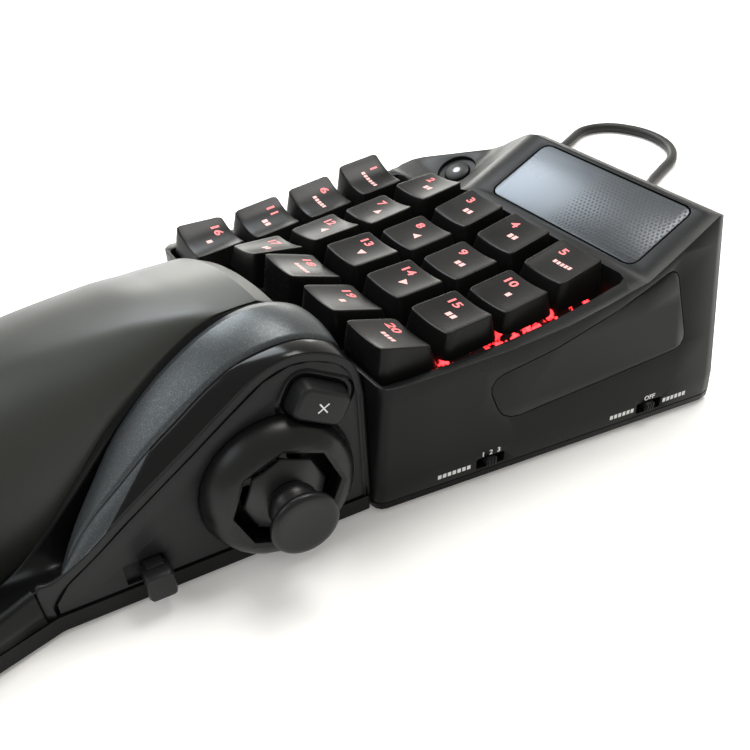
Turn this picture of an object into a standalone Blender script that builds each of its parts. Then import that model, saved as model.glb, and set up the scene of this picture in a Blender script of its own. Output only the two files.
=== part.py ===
"""Left-hand gaming keypad: key unit, sliding palm unit with thumb stick, and coiled cable.

Lengths are in metres. The outline of every piece is drawn in the key grid's frame, whose X = 0 is the
middle key column and whose Y = 0 is the top key row. One empty then moves the whole model so that the
middle of its base is at the world's origin. +Y points away from the user and +Z points up.
"""
import math

import bmesh
import bpy
from mathutils import Euler, Matrix, Vector

MM = 0.001

# Fits between neighbouring pieces
GAP = 0.3 * MM
RUNNING_GAP = 0.4 * MM
OVERRUN = 4.0 * MM
LEAST_RADIUS = 0.2 * MM
WALL = 2.2 * MM

# Key field
KEY_PITCH = 19.05 * MM
KEY_COLUMNS = 5
KEY_ROWS = 4
PINKY_STAGGER = 8.6 * MM
KEY_TRAVEL = 3.2 * MM
COLUMN_DROPS = (3.0 * MM, 1.5 * MM, 0.0, 0.0, 0.0)

# Heights of the caps' top corners by row: front left, front right, back left, back right
FINGER_CAP_TOPS = ((46.0 * MM, 46.0 * MM, 48.3 * MM, 48.3 * MM), (44.6 * MM, 44.6 * MM, 45.3 * MM, 45.3 * MM),
                   (46.1 * MM, 46.1 * MM, 45.8 * MM, 45.8 * MM), (49.8 * MM, 49.8 * MM, 44.5 * MM, 44.5 * MM))
RING_CAP_TOPS = ((46.3 * MM, 47.0 * MM, 46.7 * MM, 48.6 * MM), (43.3 * MM, 44.8 * MM, 44.4 * MM, 46.0 * MM),
                 (42.6 * MM, 45.5 * MM, 43.5 * MM, 45.9 * MM), (43.4 * MM, 47.6 * MM, 42.2 * MM, 44.9 * MM))
PINKY_CAP_TOPS = ((47.6 * MM, 43.6 * MM, 48.6 * MM, 44.4 * MM), (44.8 * MM, 41.4 * MM, 46.0 * MM, 42.6 * MM),
                  (43.2 * MM, 40.6 * MM, 44.4 * MM, 41.6 * MM), (44.0 * MM, 40.2 * MM, 43.0 * MM, 41.0 * MM))

# Keycap
CAP_BASE = 17.8 * MM
CAP_TOP_WIDTH = 14.5 * MM
CAP_TOP_DEPTH = 14.9 * MM
CAP_SKIRT_Z = 38.9 * MM
CAP_DISH_DEPTH = 0.7 * MM
CAP_PINKY_DISH_DEPTH = 1.6 * MM
CAP_DISH_STEPS = 6
CAP_SIDE_WALL = 1.3 * MM
CAP_ROOF = 1.7 * MM
CAP_CORNER = 0.9 * MM
STEM_RADIUS = 2.7 * MM
STEM_BOTTOM_Z = 35.2 * MM
STEM_STEPS = 8

# Switches, key plate and circuit board
PLATE_TOP_Z = 32.6 * MM
PLATE_THICKNESS = 1.5 * MM
PLATE_SEAT_WIDTH = 1.8 * MM
SWITCH_BODY = 13.6 * MM
SWITCH_FLANGE = 15.0 * MM
SWITCH_FLANGE_THICKNESS = 1.2 * MM
SWITCH_HEAD = 10.6 * MM
SWITCH_TOP_Z = 36.8 * MM
SWITCH_BODY_DEPTH = 4.6 * MM
BOARD_THICKNESS = 1.6 * MM
BOARD_POST_KEYS = (1, 5, 8, 14, 17, 20)

# Key unit case
CASE_LEFT_X = -52.0 * MM
CASE_FRONT_Y = -77.0 * MM
CASE_NOTCH_X = 22.0 * MM
CASE_NOTCH_Y = -67.6 * MM
CASE_BACK_Y = 44.0 * MM
CASE_SHOULDER_X = -14.0 * MM
CASE_SHOULDER_Y = 17.0 * MM
CASE_FRONT_RIGHT_X = 48.3 * MM
CASE_BACK_RIGHT_X = 69.2 * MM
CASE_CREASE_Z = 10.0 * MM
CASE_CREASE_INSET = 0.9 * MM
CASE_FRONT_FLARE = 3.0 * MM
CASE_BACK_LEAN = 14.0 * MM
CASE_FORM_TOP_Z = 62.0 * MM
RIGHT_WALL_STEPS = 8
WALL_LEVELS = 4
CASE_CORNER = 6.0 * MM
CASE_SMALL_CORNER = 1.6 * MM
HOOD_FRONT_Y = 13.0 * MM
HOOD_FRONT_Z = 45.2 * MM
HOOD_CREST_Y = 38.0 * MM
HOOD_CREST_Z = 56.2 * MM
HOOD_LEFT_X = -12.0 * MM
SHOULDER_RIGHT_X = -28.0 * MM
SHOULDER_DROP = 7.3 * MM
FOOT_HEIGHT = 1.2 * MM
FOOT_RADIUS = 5.5 * MM
FOOT_MARGIN = 11.0 * MM
FOOT_STEPS = 16
BASE_THICKNESS = 2.2 * MM
LEDGE_Z = 26.0 * MM

# Shares of the way from the case's front to the hood, with the rim's height as a share of the hood's front
RIM_HEIGHT_shares = ((-0.03, 0.965), (0.08, 0.935), (0.2, 0.91), (0.33, 0.9), (0.52, 0.894),
                     (0.7, 0.91), (0.83, 0.945), (0.93, 0.978), (1.0, 1.0))

# Key well
WELL_LEFT_X = -48.6 * MM
WELL_BACK_Y = 10.6 * MM
WELL_FRONT_RIGHT_X = 48.3 * MM
WELL_BACK_RIGHT_X = 52.2 * MM
WELL_WALL = 1.2 * MM
WELL_CORNER = 3.0 * MM

# Touchpad and round button on the hood
TOUCHPAD_LEFT_X = -6.0 * MM
TOUCHPAD_RIGHT_X = 49.4 * MM
TOUCHPAD_DEPTH = 24.0 * MM
TOUCHPAD_THICKNESS = 1.8 * MM
TOUCHPAD_CORNER = 2.6 * MM
TOUCHPAD_TRAVEL = 0.4 * MM
TOUCHPAD_SLOT = 0.5 * MM
HOME_BUTTON_X = -31.0 * MM
HOME_BUTTON_Y = 22.0 * MM
HOME_BUTTON_RADIUS = 4.2 * MM
HOME_BUTTON_HEIGHT = 3.2 * MM
HOME_BUTTON_PROUD = 0.6 * MM
HOME_BUTTON_TRAVEL = 0.8 * MM
HOME_RECESS_RADIUS = 6.4 * MM
HOME_RECESS_DEPTH = 1.1 * MM

# Gloss panel let into the right wall, as (y, z)
PANEL_THICKNESS = 1.4 * MM
PANEL_CORNERS = ((-38.0 * MM, 33.0 * MM), (-17.0 * MM, 35.6 * MM), (4.0 * MM, 40.4 * MM), (23.0 * MM, 46.4 * MM),
                 (28.6 * MM, 22.4 * MM), (-32.0 * MM, 18.4 * MM))
PANEL_CORNER_RADII = (3.5 * MM, 24.0 * MM, 60.0 * MM, 3.0 * MM, 3.5 * MM, 7.0 * MM)

# Slide switches in the band under the crease
SLIDER_Z = 6.2 * MM
SLIDER_SLOT_HEIGHT = 3.4 * MM
SLIDER_KNOB_WIDTH = 3.0 * MM
SLIDER_KNOB_PROUD = 0.9 * MM
SLIDER_KNOB_DEPTH = 4.2 * MM
SLIDER_STEP = 2.4 * MM
PROFILE_SLIDER_Y = -35.0 * MM
MODE_SLIDER_Y = 17.0 * MM

# Palm unit
PALM_REST_GAP = 0.4 * MM
PALM_SLIDE_TRAVEL = 18.0 * MM
PALM_RIGHT_BACK_X = 46.0 * MM
PALM_RIGHT_FRONT_X = 36.4 * MM
PALM_KINK_Y = -145.0 * MM
PALM_FLARE_X = 39.6 * MM
PALM_FLARE_Y = -165.0 * MM
PALM_LEFT_X = -68.0 * MM
PALM_BACK_LEFT_X = -64.0 * MM
PALM_FRONT_Y = -200.0 * MM
PALM_BASE_TOP_Z = 6.0 * MM
PALM_PAD_RIGHT_X = 21.4 * MM
PALM_CREST_Z = 57.4 * MM
PALM_PAD_THICKNESS = 2.6 * MM
PALM_STATIONS = 15
PALM_ARCH_STEPS = 12
PALM_EDGE_MARGIN = 2.4 * MM
PALM_ARCH_ROUNDNESS_share = 0.72
PALM_FLANK_ROUNDNESS_share = 0.6
CHANNEL_END_share = 0.56
CHANNEL_STEP = 0.6 * MM
LIP_TOP_Z = 15.6 * MM
LIP_END_Z = 9.0 * MM
LIP_WALL = 2.4 * MM
LIP_FLOOR = 1.6 * MM
LIP_LEFT_X = 6.0 * MM
RAIL_WIDTH = 10.0 * MM
RAIL_THICKNESS = 2.2 * MM
RAIL_LENGTH = 46.0 * MM
RAIL_SPACING = 44.0 * MM
RAIL_CENTRE_X = -14.0 * MM

# Palm pad along its length: place, crest height, height of the right edge, crest's place towards the left
PALM_SECTION_shares = (
    (0.0, 0.945, 0.945, 0.0),
    (0.08, 0.99, 0.99, 0.0),
    (0.15, 1.0, 0.975, 0.1),
    (0.22, 1.0, 0.9, 0.22),
    (0.29, 0.98, 0.79, 0.32),
    (0.36, 0.955, 0.67, 0.4),
    (0.44, 0.91, 0.48, 0.46),
    (0.52, 0.85, 0.3, 0.5),
    (0.6, 0.78, 0.17, 0.52),
    (0.68, 0.7, 0.115, 0.53),
    (0.76, 0.6, 0.11, 0.54),
    (0.84, 0.48, 0.11, 0.55),
    (0.91, 0.35, 0.11, 0.56),
    (0.965, 0.21, 0.11, 0.57),
    (0.99, 0.115, 0.11, 0.57),
)

# Thumb unit: its plate's frame has x to the rear, y up and z out of the plate
THUMB_REAR_Y = -68.0 * MM
THUMB_TURN_DEGREES = 82.9
THUMB_LEAN_DEGREES = 4.0
THUMB_LENGTH = 80.0 * MM
THUMB_HEIGHT = 57.2 * MM
THUMB_SHELL_X = 23.0 * MM
THUMB_TRIM_X = 36.0 * MM
THUMB_TRIM_FRONT_X = 31.5 * MM
THUMB_BAND = 2.0 * MM
THUMB_PLATE_THICKNESS = 2.4 * MM
THUMB_PLATE_GROOVE = 0.5 * MM

# Shares of the thumb unit's length and height from rear foot to front foot: by the palm pad, where the gloss
# trim starts, and round the thumb plate
THUMB_SHELL_shares = ((0.0, 0.11), (0.0, 0.79), (0.03, 0.88), (0.08, 0.94), (0.155, 0.985), (0.23, 0.998),
                      (0.31, 0.98), (0.4, 0.93), (0.5, 0.845), (0.59, 0.74), (0.665, 0.63), (0.74, 0.48),
                      (0.8, 0.345), (0.86, 0.18), (0.885, 0.11))
THUMB_TRIM_shares = ((0.0, 0.11), (0.0, 0.75), (0.03, 0.84), (0.07, 0.885), (0.143, 0.93), (0.23, 0.94),
                     (0.34, 0.915), (0.43, 0.85), (0.52, 0.76), (0.61, 0.67), (0.71, 0.553), (0.8, 0.447),
                     (0.865, 0.343), (0.92, 0.2), (0.94, 0.11))
THUMB_PLATE_shares = ((0.0, 0.11), (0.0, 0.66), (0.02, 0.79), (0.07, 0.87), (0.15, 0.92), (0.225, 0.93),
                      (0.31, 0.892), (0.42, 0.785), (0.53, 0.673), (0.64, 0.565), (0.745, 0.46), (0.84, 0.36),
                      (0.935, 0.269), (0.985, 0.18), (0.99, 0.11))

# Thumb stick, its collar and the gimbal behind it, heights measured out of the thumb plate
STICK_ALONG = 23.8 * MM
STICK_UP = 20.9 * MM
COLLAR_RADIUS = 19.0 * MM
COLLAR_HEIGHT = 7.0 * MM
COLLAR_MOUTH_RADIUS = 13.4 * MM
COLLAR_BORE_RADIUS = 15.0 * MM
COLLAR_STEPS = 32
OCTAGON_SIDES = 8
PLATE_HOLE_RADIUS = 15.6 * MM
PIVOT_DEPTH = 11.0 * MM
SKIRT_RADIUS = 16.4 * MM
SKIRT_THICKNESS = 1.0 * MM
SKIRT_EDGE_RADIUS = 11.6 * MM
SHAFT_RADIUS = 2.6 * MM
SHAFT_TOP = 15.0 * MM
STICK_CAP_RADIUS = 8.2 * MM
STICK_CAP_FACE = 16.6 * MM
STICK_CAP_RIM = 2.6 * MM
STICK_NECK_RADIUS = 4.2 * MM
STICK_BULGE_RADIUS = 6.0 * MM
STICK_BULGE_HEIGHT = 10.0 * MM
STICK_BULGE_BOTTOM = 6.2 * MM
YOKE_HALF = 6.0 * MM
YOKE_BAR = 1.8 * MM
YOKE_PIN_RADIUS = 1.0 * MM
GIMBAL_HALF = 9.8 * MM
GIMBAL_WALL = 1.6 * MM
GIMBAL_FLANGE_RADIUS = 17.6 * MM
GIMBAL_FLANGE_THICKNESS = 1.4 * MM
GIMBAL_FLOOR = 5.8 * MM

# Thumb button and lock lever, measured along and up the thumb plate
THUMB_BUTTON_ALONG = 12.5 * MM
THUMB_BUTTON_UP = 40.8 * MM
THUMB_BUTTON_LENGTH = 14.6 * MM
THUMB_BUTTON_WIDTH = 9.6 * MM
THUMB_BUTTON_TURN_DEGREES = -30.0
THUMB_BUTTON_PROUD = 4.4 * MM
THUMB_BUTTON_TRAVEL = 1.2 * MM
THUMB_BUTTON_CORNER = 2.9 * MM
THUMB_BUTTON_TAPER = 0.7 * MM
LEVER_ALONG = 55.4 * MM
LEVER_UP = 10.2 * MM
LEVER_LENGTH = 4.2 * MM
LEVER_WIDTH = 5.2 * MM
LEVER_TAB_LENGTH = 6.6 * MM
LEVER_TAB_HEIGHT = 7.4 * MM
LEVER_TAB_UP = 8.4 * MM
LEVER_PROUD = 5.8 * MM
LEVER_TRAVEL = 4.0 * MM
LEVER_RECESS_DEPTH = 1.4 * MM

# Cable
CABLE_DIAMETER = 4.5 * MM
CABLE_EXIT_X = 14.0 * MM
CABLE_EXIT_Z = 14.0 * MM
RELIEF_LENGTH = 14.0 * MM
RELIEF_COLLAR = 2.4 * MM
RELIEF_BACK_RADIUS = 4.4 * MM
RELIEF_TIP_RADIUS = 3.1 * MM
COIL_CENTRE_X = -46.0 * MM
COIL_CENTRE_Y = 88.0 * MM
COIL_RADIUS = 33.6 * MM
COIL_PITCH = 5.0 * MM
COIL_LAYER_RISE = 5.0 * MM
COIL_TURNS_PER_LAYER = 4
TAIL_LENGTH = 24.0 * MM
TAIL_STEP = 4.0 * MM
COIL_START_DEGREES = 180.0
COIL_STEPS = 24
CABLE_STEP = 11.0 * MM
PLUG_BOOT_LENGTH = 7.0 * MM
PLUG_BODY_LENGTH = 19.0 * MM
PLUG_BODY_WIDTH = 15.0 * MM
PLUG_BODY_THICKNESS = 7.6 * MM
PLUG_SHELL_LENGTH = 12.0 * MM
PLUG_SHELL_WIDTH = 12.0 * MM
PLUG_SHELL_THICKNESS = 4.5 * MM
CORD_PIECES = ("cable", "cable_coil", "cable_tail", "usb_plug_body", "usb_plug_shell")

# Floor route of the cable by hand, from the strain relief to the coil
CABLE_ROUTE = (
    (13.4 * MM, 70.0 * MM, 9.6 * MM), (11.0 * MM, 84.0 * MM, 4.6 * MM), (5.0 * MM, 99.0 * MM, 2.3 * MM),
    (-7.0 * MM, 114.0 * MM, 2.25 * MM), (-23.0 * MM, 126.0 * MM, 2.25 * MM), (-36.0 * MM, 139.0 * MM, 2.25 * MM),
    (-43.5 * MM, 156.0 * MM, 2.25 * MM), (-50.0 * MM, 172.0 * MM, 2.25 * MM), (-61.0 * MM, 182.5 * MM, 2.25 * MM),
    (-77.0 * MM, 185.5 * MM, 2.25 * MM), (-92.0 * MM, 178.0 * MM, 2.25 * MM), (-97.0 * MM, 163.0 * MM, 2.25 * MM),
    (-91.0 * MM, 146.0 * MM, 2.25 * MM), (-84.0 * MM, 128.0 * MM, 2.25 * MM), (-80.4 * MM, 110.0 * MM, 2.25 * MM),
)

# Colours and finishes
BLACK_PLASTIC = ((0.018, 0.018, 0.02, 1.0), 0.42, 0.0)
BLACK_GLOSS = ((0.01, 0.01, 0.012, 1.0), 0.12, 0.0)
BLACK_RUBBER = ((0.015, 0.015, 0.015, 1.0), 0.75, 0.0)
KEY_BLACK = ((0.022, 0.021, 0.022, 1.0), 0.38, 0.0)
PALM_GREY = ((0.055, 0.058, 0.055, 1.0), 0.55, 0.0)
METALLIC_GREY = ((0.06, 0.065, 0.072, 1.0), 0.36, 0.55)
TOUCHPAD_GREY = ((0.045, 0.052, 0.064, 1.0), 0.4, 0.1)
SWITCH_RED = ((0.5, 0.05, 0.05, 1.0), 0.4, 0.0)
STEEL = ((0.55, 0.55, 0.56, 1.0), 0.3, 1.0)
CABLE_GREY = ((0.05, 0.05, 0.052, 1.0), 0.55, 0.0)

SMOOTH_ANGLE = math.radians(32.0)


# Scene and material helpers
def clear_scene():
    """Remove whatever the file holds."""
    for old in list(bpy.data.objects):
        bpy.data.objects.remove(old, do_unlink=True)


def material(name, look):
    """Principled material from a colour, a roughness and a metallic value."""
    colour, roughness, metallic = look
    made = bpy.data.materials.new(name)
    made.use_nodes = True
    shader = made.node_tree.nodes["Principled BSDF"]
    shader.inputs["Base Color"].default_value = colour
    shader.inputs["Roughness"].default_value = roughness
    shader.inputs["Metallic"].default_value = metallic
    return made


def add_empty(name, parent=None, location=(0.0, 0.0, 0.0), rotation=(0.0, 0.0, 0.0)):
    """Empty that carries the pieces of one frame."""
    empty = bpy.data.objects.new(name, None)
    bpy.context.collection.objects.link(empty)
    empty.parent = parent
    empty.location = location
    empty.rotation_euler = rotation
    return empty


def mesh_object(name, mesh):
    """Link a mesh as an object."""
    made = bpy.data.objects.new(name, mesh)
    bpy.context.collection.objects.link(made)
    return made


def finish(piece, look, parent, location=(0.0, 0.0, 0.0)):
    """Give a piece its material, smooth shading and place."""
    mesh = piece.data
    mesh.materials.clear()
    mesh.materials.append(material(piece.name + "_look", look))
    mesh.shade_smooth()
    mesh.set_sharp_from_angle(angle=SMOOTH_ANGLE)
    piece.parent = parent
    piece.location = location
    return piece


# Shape helpers
def loft(name, rings):
    """Closed solid through rings of equally many points, capped at both ends."""
    shape = bmesh.new()
    made = [[shape.verts.new(point) for point in ring] for ring in rings]
    count = len(rings[0])
    for low, high in zip(made, made[1:]):
        for i in range(count):
            j = (i + 1) % count
            shape.faces.new((low[i], low[j], high[j], high[i]))
    shape.faces.new(made[0][::-1])
    shape.faces.new(made[-1])
    bmesh.ops.recalc_face_normals(shape, faces=shape.faces)
    mesh = bpy.data.meshes.new(name)
    shape.to_mesh(mesh)
    shape.free()
    return mesh_object(name, mesh)


def prism(name, outline, low, high):
    """Outline in X and Y raised from one height to another."""
    return loft(name, [[(x, y, z) for x, y in outline] for z in (low, high)])


def side_prism(name, outline, near, far):
    """Outline in Y and Z run along X."""
    return loft(name, [[(x, y, z) for y, z in outline] for x in (near, far)])


def box(name, low, high):
    """Box between two corners."""
    outline = [(low[0], low[1]), (high[0], low[1]), (high[0], high[1]), (low[0], high[1])]
    return prism(name, outline, low[2], high[2])


def turned(name, profile, steps):
    """Solid of revolution about Z from (radius, height) points, closed on the axis at both ends."""
    shape = bmesh.new()
    inner = [(r, z) for r, z in profile if r > 0.0]
    rings = []
    for r, z in inner:
        angles = [math.tau * i / steps for i in range(steps)]
        rings.append([shape.verts.new((r * math.cos(a), r * math.sin(a), z)) for a in angles])
    for low, high in zip(rings, rings[1:]):
        for i in range(steps):
            j = (i + 1) % steps
            shape.faces.new((low[i], low[j], high[j], high[i]))
    if profile[0] == profile[-1]:
        bmesh.ops.remove_doubles(shape, verts=shape.verts, dist=GAP * 0.01)
    else:
        shape.faces.new(rings[0][::-1])
        shape.faces.new(rings[-1])
    bmesh.ops.recalc_face_normals(shape, faces=shape.faces)
    mesh = bpy.data.meshes.new(name)
    shape.to_mesh(mesh)
    shape.free()
    return mesh_object(name, mesh)


def combine(target, tool, operation):
    """Boolean of two meshes, baked into the first; the second is used up."""
    modifier = target.modifiers.new(operation.lower(), "BOOLEAN")
    modifier.operation = operation
    modifier.solver = "EXACT"
    modifier.object = tool
    graph = bpy.context.evaluated_depsgraph_get()
    baked = bpy.data.meshes.new_from_object(target.evaluated_get(graph), depsgraph=graph)
    target.modifiers.clear()
    target.data = baked
    bpy.data.objects.remove(tool, do_unlink=True)
    return target


def cut(target, tool):
    return combine(target, tool, "DIFFERENCE")


def join(target, tool):
    return combine(target, tool, "UNION")


def meet(target, tool):
    return combine(target, tool, "INTERSECT")


def turn_mesh(piece, matrix):
    """Move a piece's mesh inside its object."""
    piece.data.transform(matrix)
    return piece


def rounded(corners, radii, steps=4):
    """Outline through corner points, each rounded by its own radius."""
    outline = []
    count = len(corners)
    for i in range(count):
        before, here, after = (Vector(corners[(i + k) % count]) for k in (-1, 0, 1))
        to_before = (before - here).normalized()
        to_after = (after - here).normalized()
        half = to_before.angle(to_after) / 2.0
        reach = radii[i] / math.tan(half)
        centre = here + (to_before + to_after).normalized() * radii[i] / math.sin(half)
        start = here + to_before * reach - centre
        end = here + to_after * reach - centre
        sweep = start.angle_signed(end)
        for k in range(steps + 1):
            a = -sweep * k / steps
            arm = (start.x * math.cos(a) - start.y * math.sin(a), start.x * math.sin(a) + start.y * math.cos(a))
            outline.append((centre.x + arm[0], centre.y + arm[1]))
    return outline


def inset(outline, distance):
    """Outline moved inwards by a distance, whichever way it turns."""
    count = len(outline)
    area = sum(outline[i][0] * outline[(i + 1) % count][1] - outline[(i + 1) % count][0] * outline[i][1]
               for i in range(count))
    side = 1.0 if area > 0.0 else -1.0
    moved = []
    for i in range(count):
        before, here, after = (Vector(outline[(i + k) % count]) for k in (-1, 0, 1))
        one = (here - before).normalized()
        two = (after - here).normalized()
        normal = Vector((-one.y - two.y, one.x + two.x)) * side
        normal.normalize()
        stretch = max(normal.dot(Vector((-one.y, one.x)) * side), 0.5)
        moved.append(tuple(here + normal * distance / stretch))
    return moved


def rounded_inset(corners, radii, distance, steps=4):
    """Rounded outline moved inwards: outer corners' radii shrink with the distance, inner ones' grow."""
    count = len(corners)
    area = sum(corners[i][0] * corners[(i + 1) % count][1] - corners[(i + 1) % count][0] * corners[i][1]
               for i in range(count))
    moved_radii = []
    for i in range(count):
        before, here, after = (Vector(corners[(i + k) % count]) for k in (-1, 0, 1))
        turn = (here - before).cross(after - here)
        change = -distance if turn * area > 0.0 else distance
        moved_radii.append(max(radii[i] + change, LEAST_RADIUS))
    return rounded(inset(corners, distance), moved_radii, steps)


def rectangle(centre_x, centre_y, width, depth, corner, steps=3):
    """Rounded rectangle about a point."""
    half_w = width / 2.0
    half_d = depth / 2.0
    corners = [(centre_x - half_w, centre_y - half_d), (centre_x + half_w, centre_y - half_d),
               (centre_x + half_w, centre_y + half_d), (centre_x - half_w, centre_y + half_d)]
    return rounded(corners, [corner] * 4, steps)


def smooth_route(points, step, start_way=None, end_way=None):
    """Points a step apart along a smooth curve through the given ones."""
    points = [Vector(p) for p in points]
    first = points[0] * 2.0 - points[1] if start_way is None else points[1] - Vector(start_way) * step * 2.0
    last = points[-1] * 2.0 - points[-2] if end_way is None else points[-2] + Vector(end_way) * step * 2.0
    padded = [first] + points + [last]
    route = []
    for i in range(1, len(padded) - 2):
        p0, p1, p2, p3 = padded[i - 1:i + 3]
        pieces = max(1, round((p2 - p1).length / step))
        for k in range(pieces):
            t = k / pieces
            blend = (p1 * 2.0 + (p2 - p0) * t + (p0 * 2.0 - p1 * 5.0 + p2 * 4.0 - p3) * t ** 2
                     + (p1 * 3.0 - p0 - p2 * 3.0 + p3) * t ** 3)
            route.append(blend / 2.0)
    route.append(points[-1])
    return route


def tube(name, points, diameter, sides_level):
    """Round tube along points, as a bevelled curve with filled caps."""
    curve = bpy.data.curves.new(name, "CURVE")
    curve.dimensions = "3D"
    spline = curve.splines.new("POLY")
    spline.points.add(len(points) - 1)
    for place, point in zip(spline.points, points):
        place.co = (*point, 1.0)
    curve.bevel_depth = diameter / 2.0
    curve.bevel_resolution = sides_level
    curve.use_fill_caps = True
    made = bpy.data.objects.new(name, curve)
    bpy.context.collection.objects.link(made)
    return made


def finish_tube(piece, look, parent):
    """Material and parent for a tube, whose data is a curve."""
    piece.data.materials.append(material(piece.name + "_look", look))
    piece.parent = parent
    return piece


# Key unit forms
def right_wall_x(y, front_x, back_x):
    """X of the case's right side where it runs straight from front to back."""
    share = (y - CASE_NOTCH_Y) / (CASE_BACK_Y - CASE_NOTCH_Y)
    return front_x + (back_x - front_x) * share


def case_outline(front_x, back_x, distance):
    """Case footprint for one level, moved inwards by a distance."""
    corners = [(CASE_LEFT_X, CASE_FRONT_Y), (CASE_NOTCH_X, CASE_FRONT_Y), (CASE_NOTCH_X, CASE_NOTCH_Y),
               (front_x, CASE_NOTCH_Y), (back_x, CASE_BACK_Y), (CASE_SHOULDER_X, CASE_BACK_Y),
               (CASE_LEFT_X, CASE_SHOULDER_Y)]
    radii = [CASE_CORNER, CASE_SMALL_CORNER, CASE_SMALL_CORNER, CASE_SMALL_CORNER * 2.0, CASE_CORNER,
             CASE_CORNER * 2.0, CASE_CORNER * 2.0]
    steps = 3
    outline = rounded_inset(corners, radii, distance, steps)
    start = (steps + 1) * 4
    near, far = (Vector(outline[i]) for i in (start - 1, start))
    straight = [tuple(near.lerp(far, k / RIGHT_WALL_STEPS)) for k in range(1, RIGHT_WALL_STEPS)]
    return outline[:start] + straight + outline[start:]


def case_sides(name, distance, low):
    """Case walls as a solid: foot, crease and leaning upper wall."""
    foot = case_outline(CASE_FRONT_RIGHT_X, CASE_BACK_RIGHT_X, distance)
    crease = case_outline(CASE_FRONT_RIGHT_X, CASE_BACK_RIGHT_X - CASE_CREASE_INSET, distance)
    levels = [(low, foot), (CASE_CREASE_Z, crease)]
    for k in range(1, WALL_LEVELS + 1):
        share = k / WALL_LEVELS
        front_x = CASE_FRONT_RIGHT_X + CASE_FRONT_FLARE * share
        back_x = CASE_BACK_RIGHT_X - CASE_CREASE_INSET - (CASE_BACK_LEAN - CASE_CREASE_INSET) * share
        height = CASE_CREASE_Z + (CASE_FORM_TOP_Z - CASE_CREASE_Z) * share
        levels.append((height, case_outline(front_x, back_x, distance)))
    return loft(name, [[(x, y, z) for x, y in outline] for z, outline in levels])


def rim_profile():
    """Top line of the case over Y: rim beside the keys, sloping hood, rounded back."""
    reach = HOOD_FRONT_Y - CASE_FRONT_Y
    line = [(CASE_FRONT_Y + reach * along, HOOD_FRONT_Z * height) for along, height in RIM_HEIGHT_shares]
    fall = CASE_BACK_Y - HOOD_CREST_Y
    line.append((HOOD_CREST_Y, HOOD_CREST_Z))
    for k in (1, 2, 3):
        a = math.pi / 2.0 * k / 3.0
        line.append((HOOD_CREST_Y + fall * math.sin(a), HOOD_CREST_Z - fall * (1.0 - math.cos(a))))
    line.append((CASE_BACK_Y + OVERRUN, line[-1][1]))
    return line


def shoulder_drop(x):
    """How far the top lies below the hood's own profile at one X."""
    share = min(max((HOOD_LEFT_X - x) / (HOOD_LEFT_X - SHOULDER_RIGHT_X), 0.0), 1.0)
    return SHOULDER_DROP * share * share * (3.0 - 2.0 * share)


def case_top(name, distance):
    """Everything under the case's top surface, lowered by a distance."""
    steps = 5
    stations = [CASE_LEFT_X - OVERRUN]
    stations += [SHOULDER_RIGHT_X + (HOOD_LEFT_X - SHOULDER_RIGHT_X) * k / steps for k in range(steps + 1)]
    stations.append(CASE_BACK_RIGHT_X + OVERRUN)
    profile = rim_profile()
    rings = []
    for x in stations:
        drop = shoulder_drop(x) + distance
        ring = [(x, y, z - drop) for y, z in profile]
        ring += [(x, profile[-1][0], -OVERRUN * 2.0), (x, profile[0][0], -OVERRUN * 2.0)]
        rings.append(ring)
    return loft(name, rings)


def case_form(name, distance, low):
    """The case's outer form, or a smaller copy of it."""
    return meet(case_sides(name, distance, low), case_top(name + "_top", distance))


def well_outline(distance=0.0):
    """Key well in plan."""
    front_y = CASE_FRONT_Y + WELL_WALL
    step_y = CASE_NOTCH_Y + WELL_WALL
    corners = [(WELL_LEFT_X, front_y), (CASE_NOTCH_X - WELL_WALL, front_y), (CASE_NOTCH_X - WELL_WALL, step_y),
               (WELL_FRONT_RIGHT_X, step_y), (WELL_BACK_RIGHT_X, WELL_BACK_Y), (WELL_LEFT_X, WELL_BACK_Y)]
    radii = [WELL_CORNER, CASE_SMALL_CORNER / 2.0, CASE_SMALL_CORNER / 2.0, CASE_SMALL_CORNER / 2.0, WELL_CORNER,
             WELL_CORNER]
    return rounded_inset(corners, radii, distance, 2)


def key_centre(number):
    """Place of key 1 to 20 in the grid, the little finger's column set towards the user."""
    row, column = divmod(number - 1, KEY_COLUMNS)
    x = (column - (KEY_COLUMNS - 1) / 2.0) * KEY_PITCH
    y = -row * KEY_PITCH - (PINKY_STAGGER if column == 0 else 0.0)
    return x, y


def hood_frame():
    """Matrix of the hood's sloping face: X across, Y up the slope, Z out of it, at the slope's middle."""
    rise = HOOD_CREST_Z - HOOD_FRONT_Z
    run = HOOD_CREST_Y - HOOD_FRONT_Y
    middle = Vector((0.0, HOOD_FRONT_Y + run / 2.0, HOOD_FRONT_Z + rise / 2.0))
    return Matrix.Translation(middle) @ Matrix.Rotation(math.atan2(rise, run), 4, "X")


def touchpad_outline(distance):
    """Touchpad in the hood's own frame."""
    width = TOUCHPAD_RIGHT_X - TOUCHPAD_LEFT_X
    centre = (TOUCHPAD_RIGHT_X + TOUCHPAD_LEFT_X) / 2.0
    return rectangle(centre, 0.0, width + 2.0 * distance, TOUCHPAD_DEPTH + 2.0 * distance,
                     TOUCHPAD_CORNER + distance)


def home_button_frame():
    """Matrix of the round button: the hood's slope, lowered with the shoulder."""
    slope = math.atan2(HOOD_CREST_Z - HOOD_FRONT_Z, HOOD_CREST_Y - HOOD_FRONT_Y)
    height = (HOOD_FRONT_Z + (HOME_BUTTON_Y - HOOD_FRONT_Y) * math.tan(slope)) - shoulder_drop(HOME_BUTTON_X)
    return Matrix.Translation((HOME_BUTTON_X, HOME_BUTTON_Y, height)) @ Matrix.Rotation(slope, 4, "X")


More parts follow.
